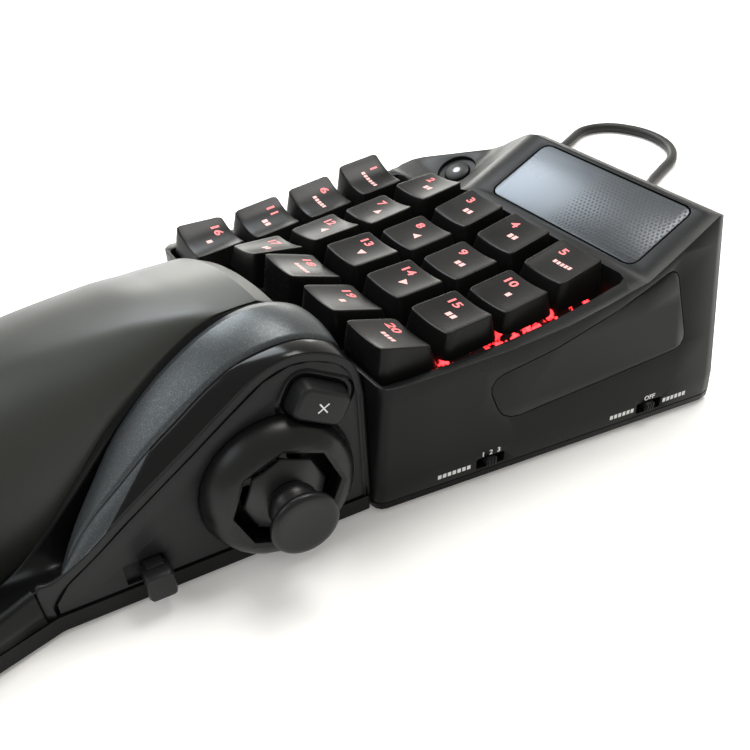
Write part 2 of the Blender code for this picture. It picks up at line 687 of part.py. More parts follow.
def panel_outline(distance):
    """Gloss panel's outline in Y and Z."""
    return rounded_inset(PANEL_CORNERS, PANEL_CORNER_RADII, distance, 3)


def slider_frame(y):
    """Matrix of a slide switch on the right wall: X along the wall, Y up, Z out of it."""
    share = SLIDER_Z / CASE_CREASE_Z
    back_x = CASE_BACK_RIGHT_X - CASE_CREASE_INSET * share
    x = right_wall_x(y, CASE_FRONT_RIGHT_X, back_x)
    heading = math.atan2(CASE_BACK_Y - CASE_NOTCH_Y, back_x - CASE_FRONT_RIGHT_X)
    place = Matrix.Translation((x, y, SLIDER_Z))
    return place @ Matrix.Rotation(heading, 4, "Z") @ Matrix.Rotation(math.radians(90.0), 4, "X")


# Key unit pieces
def build_top_case(parent):
    """Sculpted shell with the key well, touchpad seat, button recess, panel seat and slots."""
    low = FOOT_HEIGHT + BASE_THICKNESS + GAP
    shell = case_form("top_case", 0.0, low)
    lower_hollow = case_form("lower_hollow", WALL, low - OVERRUN)
    limit = box("limit", (CASE_LEFT_X, CASE_FRONT_Y, -OVERRUN * 3.0), (CASE_BACK_RIGHT_X, CASE_BACK_Y, LEDGE_Z))
    cut(shell, meet(lower_hollow, limit))
    hood_hollow = case_form("hood_hollow", WALL + TOUCHPAD_THICKNESS + TOUCHPAD_TRAVEL + GAP, low)
    keep = box("keep", (CASE_LEFT_X, WELL_BACK_Y + WELL_WALL, LEDGE_Z - OVERRUN),
               (CASE_BACK_RIGHT_X, CASE_BACK_Y, CASE_FORM_TOP_Z))
    cut(shell, meet(hood_hollow, keep))
    seat_z = plate_low() - GAP
    cut(shell, prism("well", well_outline(), seat_z, CASE_FORM_TOP_Z + OVERRUN))
    cut(shell, prism("well_floor", well_outline(PLATE_SEAT_WIDTH), LEDGE_Z - OVERRUN, seat_z + OVERRUN / 2.0))
    pocket_depth = TOUCHPAD_THICKNESS + TOUCHPAD_TRAVEL + GAP
    pocket = prism("touch_pocket", touchpad_outline(TOUCHPAD_SLOT), -pocket_depth, OVERRUN)
    cut(shell, turn_mesh(pocket, hood_frame()))
    recess = turned("home_recess", [(HOME_RECESS_RADIUS, -HOME_RECESS_DEPTH),
                                    (HOME_RECESS_RADIUS + HOME_RECESS_DEPTH, OVERRUN)], 24)
    cut(shell, turn_mesh(recess, home_button_frame()))
    bore_depth = HOME_BUTTON_HEIGHT + HOME_BUTTON_TRAVEL + HOME_RECESS_DEPTH - HOME_BUTTON_PROUD + 2.0 * GAP
    bore_radius = HOME_BUTTON_RADIUS + GAP
    bore = turned("home_bore", [(bore_radius, -bore_depth), (bore_radius, OVERRUN)], 20)
    cut(shell, turn_mesh(bore, home_button_frame()))
    cut(shell, panel_seat())
    for y in (PROFILE_SLIDER_Y, MODE_SLIDER_Y):
        width = SLIDER_KNOB_WIDTH + 2.0 * (SLIDER_STEP + RUNNING_GAP)
        opening = rectangle(0.0, 0.0, width, SLIDER_SLOT_HEIGHT, RUNNING_GAP)
        slot = prism("slot", opening, -SLIDER_KNOB_DEPTH - GAP,
                     OVERRUN)
        cut(shell, turn_mesh(slot, slider_frame(y)))
    for tool in rail_tools("rail_slot", RUNNING_GAP):
        cut(shell, tool)
    hole_radius = RELIEF_TIP_RADIUS + GAP
    hole = turned("relief_hole", [(hole_radius, -OVERRUN * 2.0), (hole_radius, OVERRUN)], 16)
    cut(shell, turn_mesh(hole, relief_frame()))
    return finish(shell, BLACK_PLASTIC, parent)


def panel_seat():
    """Tool for the shallow seat that the gloss panel fills."""
    seat = case_sides("panel_seat", -OVERRUN, FOOT_HEIGHT)
    cut(seat, case_sides("panel_seat_core", PANEL_THICKNESS + GAP, -OVERRUN))
    return meet(seat, side_prism("panel_seat_edge", panel_outline(-GAP), 0.0, CASE_BACK_RIGHT_X + OVERRUN))


def build_side_panel(parent):
    """Gloss panel flush with the leaning right wall."""
    panel = case_sides("side_panel", 0.0, FOOT_HEIGHT)
    cut(panel, case_sides("panel_core", PANEL_THICKNESS, -OVERRUN))
    meet(panel, side_prism("panel_edge", panel_outline(0.0), 0.0, CASE_BACK_RIGHT_X + OVERRUN))
    return finish(panel, BLACK_GLOSS, parent)


def build_bottom_case(parent):
    """Floor of the key unit, with posts under the circuit board and walls beside the palm unit's rails."""
    outline = case_outline(CASE_FRONT_RIGHT_X, CASE_BACK_RIGHT_X, 0.0)
    floor_top = FOOT_HEIGHT + BASE_THICKNESS
    plate = prism("bottom_case", outline, FOOT_HEIGHT, floor_top)
    board_low = board_top() - BOARD_THICKNESS
    post_radius = STEM_RADIUS
    for number in BOARD_POST_KEYS:
        x, y = key_centre(number)
        profile = [(post_radius * 1.4, floor_top - BASE_THICKNESS / 2.0), (post_radius, board_low - GAP)]
        post = turned("post", profile, 10)
        join(plate, turn_mesh(post, Matrix.Translation((x, y, 0.0))))
    return finish(plate, BLACK_PLASTIC, parent)


def board_top():
    """Height of the circuit board's upper face, just under the switches."""
    return PLATE_TOP_Z - max(COLUMN_DROPS) + GAP - SWITCH_BODY_DEPTH


def plate_low():
    """Underside of the key plate, which is level below its stepped top."""
    return PLATE_TOP_Z - PLATE_THICKNESS - max(COLUMN_DROPS)


def build_key_plate(parent):
    """Plate stepped down for the ring and little fingers' columns, with one square hole for each switch."""
    plate = prism("key_plate", well_outline(GAP), plate_low(), PLATE_TOP_Z)
    for column in (1, 0):
        edge_x = key_centre(column + 1)[0] + KEY_PITCH / 2.0
        low = (CASE_LEFT_X, CASE_FRONT_Y, PLATE_TOP_Z - COLUMN_DROPS[column])
        cut(plate, box("plate_step", low, (edge_x, CASE_SHOULDER_Y, PLATE_TOP_Z + OVERRUN)))
    side = SWITCH_BODY + 2.0 * GAP
    for number in range(1, KEY_COLUMNS * KEY_ROWS + 1):
        x, y = key_centre(number)
        low = (x - side / 2.0, y - side / 2.0, plate_low() - OVERRUN)
        high = (x + side / 2.0, y + side / 2.0, PLATE_TOP_Z + OVERRUN)
        cut(plate, box("switch_hole", low, high))
    return finish(plate, BLACK_PLASTIC, parent)


def square_ring(half, z):
    """Corners of a square at one height."""
    return [(-half, -half, z), (half, -half, z), (half, half, z), (-half, half, z)]


def build_switch_board(parent):
    """Circuit board with the switches soldered to it: body, flange over the plate, tapered head, stem bore."""
    top = board_top()
    board = prism("switch_board", well_outline(PLATE_SEAT_WIDTH + RUNNING_GAP), top - BOARD_THICKNESS, top)
    bore_low = STEM_BOTTOM_Z - KEY_TRAVEL - GAP
    for number in range(1, KEY_COLUMNS * KEY_ROWS + 1):
        x, y = key_centre(number)
        drop = COLUMN_DROPS[(number - 1) % KEY_COLUMNS]
        flange_low = PLATE_TOP_Z + GAP - drop
        flange_high = flange_low + SWITCH_FLANGE_THICKNESS
        rings = [square_ring(SWITCH_BODY / 2.0, top - BOARD_THICKNESS / 2.0),
                 square_ring(SWITCH_BODY / 2.0, flange_low), square_ring(SWITCH_FLANGE / 2.0, flange_low),
                 square_ring(SWITCH_FLANGE / 2.0, flange_high),
                 square_ring(SWITCH_HEAD / 2.0, SWITCH_TOP_Z - drop)]
        place = Matrix.Translation((x, y, 0.0))
        join(board, turn_mesh(loft("one_switch", rings), place))
        bore = disc("stem_bore", STEM_RADIUS + GAP, bore_low - drop, SWITCH_TOP_Z + OVERRUN, STEM_STEPS)
        cut(board, turn_mesh(bore, place))
    return finish(board, SWITCH_RED, parent)


def cap_tops(row, column):
    """Heights of one cap's top corners, and how deep its dish is."""
    if column == 0:
        return PINKY_CAP_TOPS[row], CAP_PINKY_DISH_DEPTH
    return (RING_CAP_TOPS if column == 1 else FINGER_CAP_TOPS)[row], CAP_DISH_DEPTH


def cap_top_height(tops, dish, across, along):
    """Height of a dished top; across and along run from -1 at its left and front edges to 1."""
    front = tops[0] + (tops[1] - tops[0]) * (across + 1.0) / 2.0
    back = tops[2] + (tops[3] - tops[2]) * (across + 1.0) / 2.0
    return front + (back - front) * (along + 1.0) / 2.0 - dish * (1.0 - across ** 2)


def build_keycap(number, parent):
    """Hollow cap with tapered sides, dished top and stem, its origin at the switch's axis."""
    row, column = divmod(number - 1, KEY_COLUMNS)
    tops, dish = cap_tops(row, column)
    drop = COLUMN_DROPS[column]
    skirt_z = CAP_SKIRT_Z - drop
    half_w = CAP_TOP_WIDTH / 2.0
    half_d = CAP_TOP_DEPTH / 2.0
    shares = [2.0 * k / CAP_DISH_STEPS - 1.0 for k in range(CAP_DISH_STEPS + 1)]
    shape = bmesh.new()
    front = [shape.verts.new((half_w * s, -half_d, cap_top_height(tops, dish, s, -1.0))) for s in shares]
    back = [shape.verts.new((half_w * s, half_d, cap_top_height(tops, dish, s, 1.0))) for s in shares]
    base = [shape.verts.new(point) for point in square_ring(CAP_BASE / 2.0, skirt_z)]
    for i in range(CAP_DISH_STEPS):
        shape.faces.new((front[i], front[i + 1], back[i + 1], back[i]))
    shape.faces.new([base[0], base[1]] + front[::-1])
    shape.faces.new([base[2], base[3]] + back)
    shape.faces.new((base[1], base[2], back[-1], front[-1]))
    shape.faces.new((base[3], base[0], front[0], back[0]))
    shape.faces.new(base[::-1])
    bmesh.ops.recalc_face_normals(shape, faces=shape.faces)
    corners = [edge for edge in shape.edges if is_cap_corner(edge, skirt_z)]
    bmesh.ops.bevel(shape, geom=corners, offset=CAP_CORNER, segments=2, profile=0.5, affect="EDGES")
    name = f"keycap_{number:02d}"
    mesh = bpy.data.meshes.new(name)
    shape.to_mesh(mesh)
    shape.free()
    cap = mesh_object(name, mesh)
    low_half = CAP_BASE / 2.0 - CAP_SIDE_WALL
    roof_half = CAP_TOP_WIDTH / 2.0 - CAP_SIDE_WALL
    inner = roof_half / half_w
    roof = []
    for x, y, _ in square_ring(roof_half, 0.0):
        height = cap_top_height(tops, dish, math.copysign(inner, x), math.copysign(inner, y))
        roof.append((x, y, height - dish * inner ** 2 - CAP_ROOF))
    low_z = skirt_z - OVERRUN
    lean = (low_half - roof_half) / (min(tops) - skirt_z)
    hollow = loft("cap_hollow", [square_ring(low_half + lean * OVERRUN, low_z), roof])
    stem_top = cap_top_height(tops, dish, 0.0, 0.0) - CAP_ROOF / 2.0
    stem = disc("stem", STEM_RADIUS, STEM_BOTTOM_Z - drop, stem_top, STEM_STEPS)
    cut(cap, hollow)
    join(cap, stem)
    x, y = key_centre(number)
    return finish(cap, KEY_BLACK, parent, (x, y, 0.0))


def is_cap_corner(edge, skirt_z):
    """True for the four edges from a cap's skirt up to its top's corners."""
    low, high = sorted(edge.verts, key=lambda vert: vert.co.z)
    steep = high.co.z - low.co.z > (CAP_BASE - CAP_TOP_WIDTH) / 2.0
    return steep and abs(low.co.z - skirt_z) < GAP


def build_touchpad(parent):
    """Clicking touchpad in its pocket on the hood."""
    pad = prism("touchpad", touchpad_outline(0.0), -TOUCHPAD_THICKNESS, 0.0)
    return finish(turn_mesh(pad, hood_frame()), TOUCHPAD_GREY, parent)


def build_home_button(parent):
    """Round button in a dished recess on the left shoulder."""
    top = HOME_BUTTON_PROUD - HOME_RECESS_DEPTH
    edge = HOME_BUTTON_PROUD
    profile = [(HOME_BUTTON_RADIUS, top - HOME_BUTTON_HEIGHT), (HOME_BUTTON_RADIUS, top),
               (HOME_BUTTON_RADIUS - edge, top + edge * 0.6), (HOME_BUTTON_RADIUS / 4.0, top + edge)]
    button = turned("home_button", profile, 20)
    return finish(turn_mesh(button, home_button_frame()), BLACK_GLOSS, parent)


def build_slider(name, y, parent):
    """Knob of a slide switch, with two finger ribs' worth of height."""
    knob = prism(name, rectangle(0.0, 0.0, SLIDER_KNOB_WIDTH, SLIDER_SLOT_HEIGHT - 2.0 * RUNNING_GAP, GAP),
                 -SLIDER_KNOB_DEPTH, SLIDER_KNOB_PROUD)
    return finish(turn_mesh(knob, slider_frame(y)), BLACK_PLASTIC, parent)


def build_feet(name, places, parent):
    """Round rubber feet that one unit stands on."""
    radius = FOOT_RADIUS
    profile = [(radius - GAP, 0.0), (radius, FOOT_HEIGHT / 2.0), (radius, FOOT_HEIGHT - GAP)]
    for number, (x, y) in enumerate(places, 1):
        pad = turned(f"{name}_{number}", profile, FOOT_STEPS)
        finish(turn_mesh(pad, Matrix.Translation((x, y, 0.0))), BLACK_RUBBER, parent)


# Palm unit forms
def palm_outline(distance):
    """Palm unit's footprint."""
    back_y = CASE_FRONT_Y - PALM_REST_GAP
    corners = [(PALM_BACK_LEFT_X, back_y), (CASE_NOTCH_X + PALM_REST_GAP, back_y),
               (CASE_NOTCH_X + PALM_REST_GAP, THUMB_REAR_Y), (PALM_RIGHT_BACK_X, THUMB_REAR_Y),
               (PALM_RIGHT_FRONT_X, PALM_KINK_Y), (PALM_FLARE_X, PALM_FLARE_Y),
               (PALM_FLARE_X, PALM_FRONT_Y), (PALM_LEFT_X, PALM_FRONT_Y), (PALM_LEFT_X, PALM_FLARE_Y)]
    half_way = (PALM_FLARE_X - PALM_LEFT_X) / 2.0
    corner = half_way * 0.6
    radii = [CASE_CORNER, CASE_SMALL_CORNER / 2.0, CASE_SMALL_CORNER / 2.0, CASE_SMALL_CORNER / 2.0,
             CASE_CORNER, CASE_CORNER, corner * 0.9, corner, CASE_CORNER]
    return rounded_inset(corners, radii, distance, 5)


def palm_section(place, crest, right, shift, distance, foot_z):
    """One cross-section of the palm pad, from its right foot over the arch to its left foot."""
    length = CASE_FRONT_Y - PALM_REST_GAP - PALM_FRONT_Y
    y = CASE_FRONT_Y - PALM_REST_GAP - length * place
    left_x = PALM_LEFT_X + PALM_EDGE_MARGIN
    right_x = PALM_PAD_RIGHT_X
    crest_x = right_x - (right_x - left_x) * shift * 0.72
    round_start = 0.55
    if place > round_start:
        narrow = math.sqrt(1.0 - ((place - round_start) / (1.0 - round_start)) ** 2)
        left_x = crest_x + (left_x - crest_x) * narrow
        right_x = crest_x + (right_x - crest_x) * narrow
    crest_z = PALM_CREST_Z * crest - distance
    right_z = max(PALM_CREST_Z * right - distance, foot_z + GAP)
    crest_z = max(crest_z, right_z)
    left_x += distance
    right_x -= distance
    ring = [(right_x, y, foot_z)]
    flank = 4
    if right_x - crest_x > distance + GAP:
        for k in range(flank):
            v = 1.0 - k / flank
            ring.append((crest_x + (right_x - crest_x) * v, y, right_z
                         + (crest_z - right_z) * (1.0 - v * v) ** PALM_FLANK_ROUNDNESS_share))
    else:
        for k in range(flank):
            ring.append((right_x - (right_x - left_x) * k / flank * 0.08, y, right_z))
        crest_x = right_x - (right_x - left_x) * 0.08
    for k in range(PALM_ARCH_STEPS + 1):
        a = math.pi / 2.0 * k / PALM_ARCH_STEPS
        u = math.sin(a)
        height = foot_z + (crest_z - foot_z) * max(math.cos(a), 0.0) ** (2.0 * PALM_ARCH_ROUNDNESS_share)
        ring.append((crest_x + (left_x - crest_x) * u, y, height))
    return ring


def palm_form(name, distance, foot_z):
    """Palm pad's arch as a solid, or a smaller copy of it."""
    rings = [palm_section(*row, distance, foot_z) for row in PALM_SECTION_shares]
    if distance:
        rings[0] = [(x, y - distance, z) for x, y, z in rings[0]]
        rings[-1] = [(x, y + distance, z) for x, y, z in rings[-1]]
    return loft(name, rings)


def thumb_frame():
    """Matrix of the thumb plate at the rear foot of its outer face."""
    turn = Euler((math.radians(90.0 - THUMB_LEAN_DEGREES), 0.0, math.radians(THUMB_TURN_DEGREES)))
    return Matrix.Translation((PALM_RIGHT_BACK_X, THUMB_REAR_Y, 0.0)) @ turn.to_matrix().to_4x4()


def plate_x(y, z, depth=0.0):
    """X of the plane that lies a depth behind the thumb plate's outer face."""
    frame = thumb_frame()
    normal = frame.to_3x3() @ Vector((0.0, 0.0, 1.0))
    origin = frame.translation - normal * depth
    return origin.x - (normal.y * (y - origin.y) + normal.z * (z - origin.z)) / normal.x


def trim_x(y):
    """X at which the gloss trim starts, nearer the plate towards the front."""
    return THUMB_TRIM_X + (THUMB_TRIM_FRONT_X - THUMB_TRIM_X) * (THUMB_REAR_Y - y) / THUMB_LENGTH


def thumb_ring(shares, distance, foot_z, side_x):
    """Side outline of the thumb unit moved inwards, its X given by a function of Y and Z."""
    outline = [(THUMB_REAR_Y - THUMB_LENGTH * along, THUMB_HEIGHT * up) for along, up in shares]
    outline = inset(outline, distance) if distance else outline
    outline[0] = (outline[0][0], foot_z)
    outline[-1] = (outline[-1][0], foot_z)
    return [(side_x(y, z), y, z) for y, z in outline]


def plate_outline(distance):
    """Thumb plate's outline in its own frame: the band's width inside the side outline."""
    outline = [(-THUMB_LENGTH * along, THUMB_HEIGHT * up) for along, up in THUMB_PLATE_shares]
    outline = inset(outline, THUMB_BAND + distance)
    foot_z = PALM_BASE_TOP_Z + 2.0 * GAP + distance
    outline[0] = (outline[0][0], foot_z)
    outline[-1] = (outline[-1][0], foot_z)
    return outline


def rail_tools(name, margin):
    """Two flat rails from the palm unit into the key unit."""
    floor_top = FOOT_HEIGHT + BASE_THICKNESS
    low_z = floor_top + RUNNING_GAP - margin
    made = []
    for side in (-1.0, 1.0):
        x = RAIL_CENTRE_X + side * RAIL_SPACING / 2.0
        low = (x - RAIL_WIDTH / 2.0 - margin, CASE_FRONT_Y - OVERRUN * 2.0, low_z)
        high = (x + RAIL_WIDTH / 2.0 + margin, CASE_FRONT_Y + RAIL_LENGTH + margin, floor_top + RUNNING_GAP
                + RAIL_THICKNESS + margin)
        made.append(box(name, low, high))
    return made


# Palm unit pieces
def build_palm_base(parent):
    """Shallow tray under the palm rest and the thumb unit, with the two rails fused to its back."""
    tray = prism("palm_base", palm_outline(0.0), FOOT_HEIGHT, PALM_BASE_TOP_Z)
    low = FOOT_HEIGHT + BASE_THICKNESS
    cut(tray, prism("tray_hollow", palm_outline(WALL * 2.0), low, PALM_BASE_TOP_Z + OVERRUN))
    for rail in rail_tools("rail", 0.0):
        join(tray, rail)
    return finish(tray, BLACK_PLASTIC, parent)


def build_palm_pad(parent):
    """Palm rest: an arched shell with a soft coat, standing on the tray."""
    foot_z = PALM_BASE_TOP_Z + GAP
    pad = palm_form("palm_rest_pad", 0.0, foot_z)
    cut(pad, palm_form("pad_hollow", PALM_PAD_THICKNESS, foot_z - OVERRUN))
    return finish(pad, PALM_GREY, parent)


def build_channel_trim(parent):
    """Gloss black strip between the palm pad and the thumb unit's shell."""
    foot_z = PALM_BASE_TOP_Z + GAP
    length = CASE_FRONT_Y - PALM_REST_GAP - PALM_FRONT_Y
    back_y = CASE_FRONT_Y - PALM_REST_GAP
    rows = [(back_y - length * place, PALM_CREST_Z * right - CHANNEL_STEP)
            for place, _, right, _ in PALM_SECTION_shares if place < CHANNEL_END_share]
    end_y = back_y - length * CHANNEL_END_share
    (y1, x1), (y2, x2) = rows[-2:]
    rows.append((end_y, x2 + (end_y - y2) * (x2 - x1) / (y2 - y1)))
    outline = [(back_y, foot_z)] + rows + [(end_y, foot_z)]
    strip = side_prism("channel_trim", outline, PALM_PAD_RIGHT_X + GAP, THUMB_SHELL_X - GAP)
    return finish(strip, BLACK_GLOSS, parent)


def build_front_skirt(parent):
    """Lip that carries the thumb unit's lower edge round the palm rest, with the channel's floor."""
    low = PALM_BASE_TOP_Z + GAP
    start_y = THUMB_REAR_Y - THUMB_LENGTH - GAP
    skirt = prism("front_skirt", palm_outline(0.0), low, LIP_TOP_Z)
    cut(skirt, prism("lip_hollow", palm_outline(LIP_WALL), low + LIP_FLOOR, LIP_TOP_Z + OVERRUN))
    slope = [(start_y + OVERRUN, LIP_TOP_Z), (PALM_FRONT_Y - OVERRUN, LIP_END_Z),
             (PALM_FRONT_Y - OVERRUN, LIP_TOP_Z + OVERRUN), (start_y + OVERRUN, LIP_TOP_Z + OVERRUN)]
    cut(skirt, side_prism("lip_slope", slope, PALM_LEFT_X - OVERRUN, PALM_RIGHT_BACK_X + OVERRUN))
    cut(skirt, palm_form("pad_space", -2.0 * GAP, low - OVERRUN))
    keep = box("skirt_keep", (LIP_LEFT_X, PALM_FRONT_Y - OVERRUN, 0.0),
               (PALM_RIGHT_BACK_X, start_y, LIP_TOP_Z + OVERRUN))
    meet(skirt, keep)
    return finish(skirt, METALLIC_GREY, parent)


def build_thumb_shell(parent):
    """Metallic shell between the palm rest and the gloss trim, open towards both."""
    foot_z = PALM_BASE_TOP_Z + GAP
    low = foot_z - OVERRUN
    rings = [thumb_ring(THUMB_SHELL_shares, 0.0, foot_z, lambda y, z: THUMB_SHELL_X),
             thumb_ring(THUMB_TRIM_shares, 0.0, foot_z, lambda y, z: trim_x(y))]
    shell = loft("thumb_shell", rings)
    hollow = [thumb_ring(THUMB_SHELL_shares, WALL, low, lambda y, z: THUMB_SHELL_X - OVERRUN),
              thumb_ring(THUMB_SHELL_shares, WALL, low, lambda y, z: THUMB_SHELL_X),
              thumb_ring(THUMB_TRIM_shares, WALL, low, lambda y, z: trim_x(y)),
              thumb_ring(THUMB_TRIM_shares, WALL, low, lambda y, z: trim_x(y) + OVERRUN)]
    cut(shell, loft("shell_hollow", hollow))
    return finish(shell, METALLIC_GREY, parent)


def build_gloss_trim(parent):
    """Gloss band round the thumb plate, hollow behind its face."""
    foot_z = PALM_BASE_TOP_Z + GAP
    low = foot_z - OVERRUN
    back_depth = THUMB_PLATE_THICKNESS + GAP + WALL
    trim = loft("gloss_trim", [thumb_ring(THUMB_TRIM_shares, 0.0, foot_z, lambda y, z: trim_x(y) + GAP),
                               thumb_ring(THUMB_PLATE_shares, 0.0, foot_z, plate_x)])
    hollow = [thumb_ring(THUMB_TRIM_shares, WALL, low, lambda y, z: trim_x(y) + GAP - OVERRUN),
              thumb_ring(THUMB_TRIM_shares, WALL, low, lambda y, z: trim_x(y) + GAP),
              thumb_ring(THUMB_PLATE_shares, WALL, low,
                         lambda y, z: max(plate_x(y, z, back_depth), trim_x(y) + 2.0 * GAP))]
    cut(trim, loft("trim_hollow", hollow))
    seat = prism("plate_seat", plate_outline(-THUMB_PLATE_GROOVE), -THUMB_PLATE_THICKNESS - GAP, OVERRUN)
    cut(trim, turn_mesh(seat, thumb_frame()))
    cut(trim, on_stick_axis(disc("module_hole", PLATE_HOLE_RADIUS, -back_depth - OVERRUN, 0.0)))
    button_hole = prism("button_hole", button_outline(RUNNING_GAP), -back_depth - OVERRUN, OVERRUN)
    cut(trim, turn_mesh(button_hole, button_matrix()))
    return finish(trim, BLACK_GLOSS, parent)


def disc(name, radius, low, high, steps=COLLAR_STEPS):
    """Round tool between two heights."""
    return turned(name, [(radius, low), (radius, high)], steps)


def stick_matrix():
    """Matrix of the stick's axis at the thumb plate's face."""
    return thumb_frame() @ Matrix.Translation((-STICK_ALONG, STICK_UP, 0.0))


def on_stick_axis(piece):
    """Place a piece made about Z on the stick's axis."""
    return turn_mesh(piece, stick_matrix())


def button_matrix():
    """Matrix of the thumb button: the plate's frame, moved to the button and turned with its edge."""
    place = thumb_frame() @ Matrix.Translation((-THUMB_BUTTON_ALONG, THUMB_BUTTON_UP, 0.0))
    return place @ Matrix.Rotation(math.radians(THUMB_BUTTON_TURN_DEGREES), 4, "Z")


def button_outline(distance):
    """Thumb button's outline about its own middle."""
    return rectangle(0.0, 0.0, THUMB_BUTTON_LENGTH + 2.0 * distance, THUMB_BUTTON_WIDTH + 2.0 * distance,
                     THUMB_BUTTON_CORNER + distance)


def build_thumb_plate(parent):
    """Flat matt plate with the stick's hole, the button's hole and the lever's recess."""
    plate = turn_mesh(prism("thumb_plate", plate_outline(0.0), -THUMB_PLATE_THICKNESS, 0.0), thumb_frame())
    cut(plate, turn_mesh(prism("button_hole", button_outline(RUNNING_GAP), -OVERRUN, OVERRUN), button_matrix()))
    cut(plate, on_stick_axis(disc("stick_hole", PLATE_HOLE_RADIUS, -OVERRUN, OVERRUN * 2.0)))
    cut(plate, on_stick_axis(disc("collar_seat", COLLAR_RADIUS + GAP, -GAP, OVERRUN * 2.0)))
    length = LEVER_LENGTH + LEVER_TRAVEL + 2.0 * RUNNING_GAP
    recess = prism("lever_recess", rectangle(-LEVER_ALONG - LEVER_TRAVEL / 2.0, LEVER_UP, length, LEVER_WIDTH
                                             + 2.0 * RUNNING_GAP, RUNNING_GAP), -LEVER_RECESS_DEPTH, OVERRUN)
    cut(plate, turn_mesh(recess, thumb_frame()))
    return finish(plate, BLACK_PLASTIC, parent)


def octagon_point(angle, radius):
    """Point of a regular octagon, a corner at angle zero, at one angle."""
    side = math.tau / OCTAGON_SIDES
    offset = (angle % side) - side / 2.0
    reach = radius * math.cos(side / 2.0) / math.cos(offset)
    return reach * math.cos(angle), reach * math.sin(angle)


def build_stick_collar(parent):
    """Bulging collar whose round foot runs up into an octagonal mouth, as a closed loft."""
    angles = [math.tau * i / COLLAR_STEPS for i in range(COLLAR_STEPS)]

    def circle(radius, z):
        return [(radius * math.cos(a), radius * math.sin(a), z) for a in angles]

    def octagon(radius, z):
        return [(*octagon_point(a, radius), z) for a in angles]

    bulge = [(1.0, 0.0), (0.985, 0.3), (0.93, 0.62), (0.83, 0.88)]
    rings = [circle(COLLAR_RADIUS * r, COLLAR_HEIGHT * h) for r, h in bulge]
    rings.append(octagon(COLLAR_MOUTH_RADIUS + WALL / 2.0, COLLAR_HEIGHT))
    rings.append(octagon(COLLAR_MOUTH_RADIUS, COLLAR_HEIGHT - WALL / 4.0))
    rings.append(octagon(COLLAR_MOUTH_RADIUS, COLLAR_HEIGHT - WALL))
    rings.append(circle(COLLAR_BORE_RADIUS, COLLAR_HEIGHT - WALL * 2.0))
    rings.append(circle(COLLAR_BORE_RADIUS, 0.0))
    shape = bmesh.new()
    made = [[shape.verts.new(point) for point in ring] for ring in rings]
    for low, high in zip(made, made[1:] + made[:1]):
        for i in range(COLLAR_STEPS):
            j = (i + 1) % COLLAR_STEPS
            shape.faces.new((low[i], low[j], high[j], high[i]))
    bmesh.ops.recalc_face_normals(shape, faces=shape.faces)
    mesh = bpy.data.meshes.new("stick_collar")
    shape.to_mesh(mesh)
    shape.free()
    collar = on_stick_axis(mesh_object("stick_collar", mesh))
    space = prism("button_space", button_outline(RUNNING_GAP), -OVERRUN, COLLAR_HEIGHT + OVERRUN)
    cut(collar, turn_mesh(space, button_matrix()))
    cut(collar, prism("base_space", palm_outline(-GAP), 0.0, PALM_BASE_TOP_Z + GAP))
    return finish(collar, BLACK_PLASTIC, parent)


def build_stick_cap(parent):
    """Rubber-faced cap of the stick: disc, neck and bulge, bored for the shaft."""
    face = STICK_CAP_FACE
    rim_low = face - STICK_CAP_RIM
    profile = [(STICK_BULGE_RADIUS * 0.8, STICK_BULGE_BOTTOM),
               (STICK_BULGE_RADIUS, STICK_BULGE_HEIGHT - STICK_CAP_RIM / 2.0), (STICK_BULGE_RADIUS, STICK_BULGE_HEIGHT),
               (STICK_NECK_RADIUS, rim_low - STICK_CAP_RIM / 3.0), (STICK_CAP_RADIUS * 0.92, rim_low),
               (STICK_CAP_RADIUS, rim_low + STICK_CAP_RIM / 3.0), (STICK_CAP_RADIUS, face - STICK_CAP_RIM / 3.0),
               (STICK_CAP_RADIUS * 0.9, face), (STICK_CAP_RADIUS * 0.4, face - STICK_CAP_RIM / 8.0),
               (SHAFT_RADIUS / 2.0, face - STICK_CAP_RIM / 7.0)]
    cap = turned("stick_cap", profile, 24)
    cut(cap, disc("cap_bore", SHAFT_RADIUS + GAP, STICK_BULGE_BOTTOM - OVERRUN, SHAFT_TOP + GAP, 16))
    turn_mesh(cap, Matrix.Translation((0.0, 0.0, PIVOT_DEPTH)))
    return finish(cap, BLACK_RUBBER, parent)


def build_stick_skirt(parent):
    """Dome with an octagonal edge that closes the collar's mouth behind the stick, centred on the pivot."""
    outer = []
    inner = []
    steps = 6
    thin = SKIRT_RADIUS - SKIRT_THICKNESS
    hole = math.asin((SHAFT_RADIUS + GAP) / SKIRT_RADIUS)
    edge = math.asin(SKIRT_EDGE_RADIUS / SKIRT_RADIUS)
    for k in range(steps + 1):
        a = hole + (edge - hole) * k / steps
        outer.append((SKIRT_RADIUS * math.sin(a), SKIRT_RADIUS * math.cos(a)))
        inner.append((max(thin * math.sin(a), SHAFT_RADIUS + GAP), thin * math.cos(a)))
    skirt = turned("stick_skirt", outer + inner[::-1] + outer[:1], 24)
    corners = [octagon_point(math.tau * i / OCTAGON_SIDES, SKIRT_EDGE_RADIUS) for i in range(OCTAGON_SIDES)]
    meet(skirt, prism("skirt_edge", corners, 0.0, SKIRT_RADIUS + OVERRUN))
    return finish(skirt, METALLIC_GREY, parent)


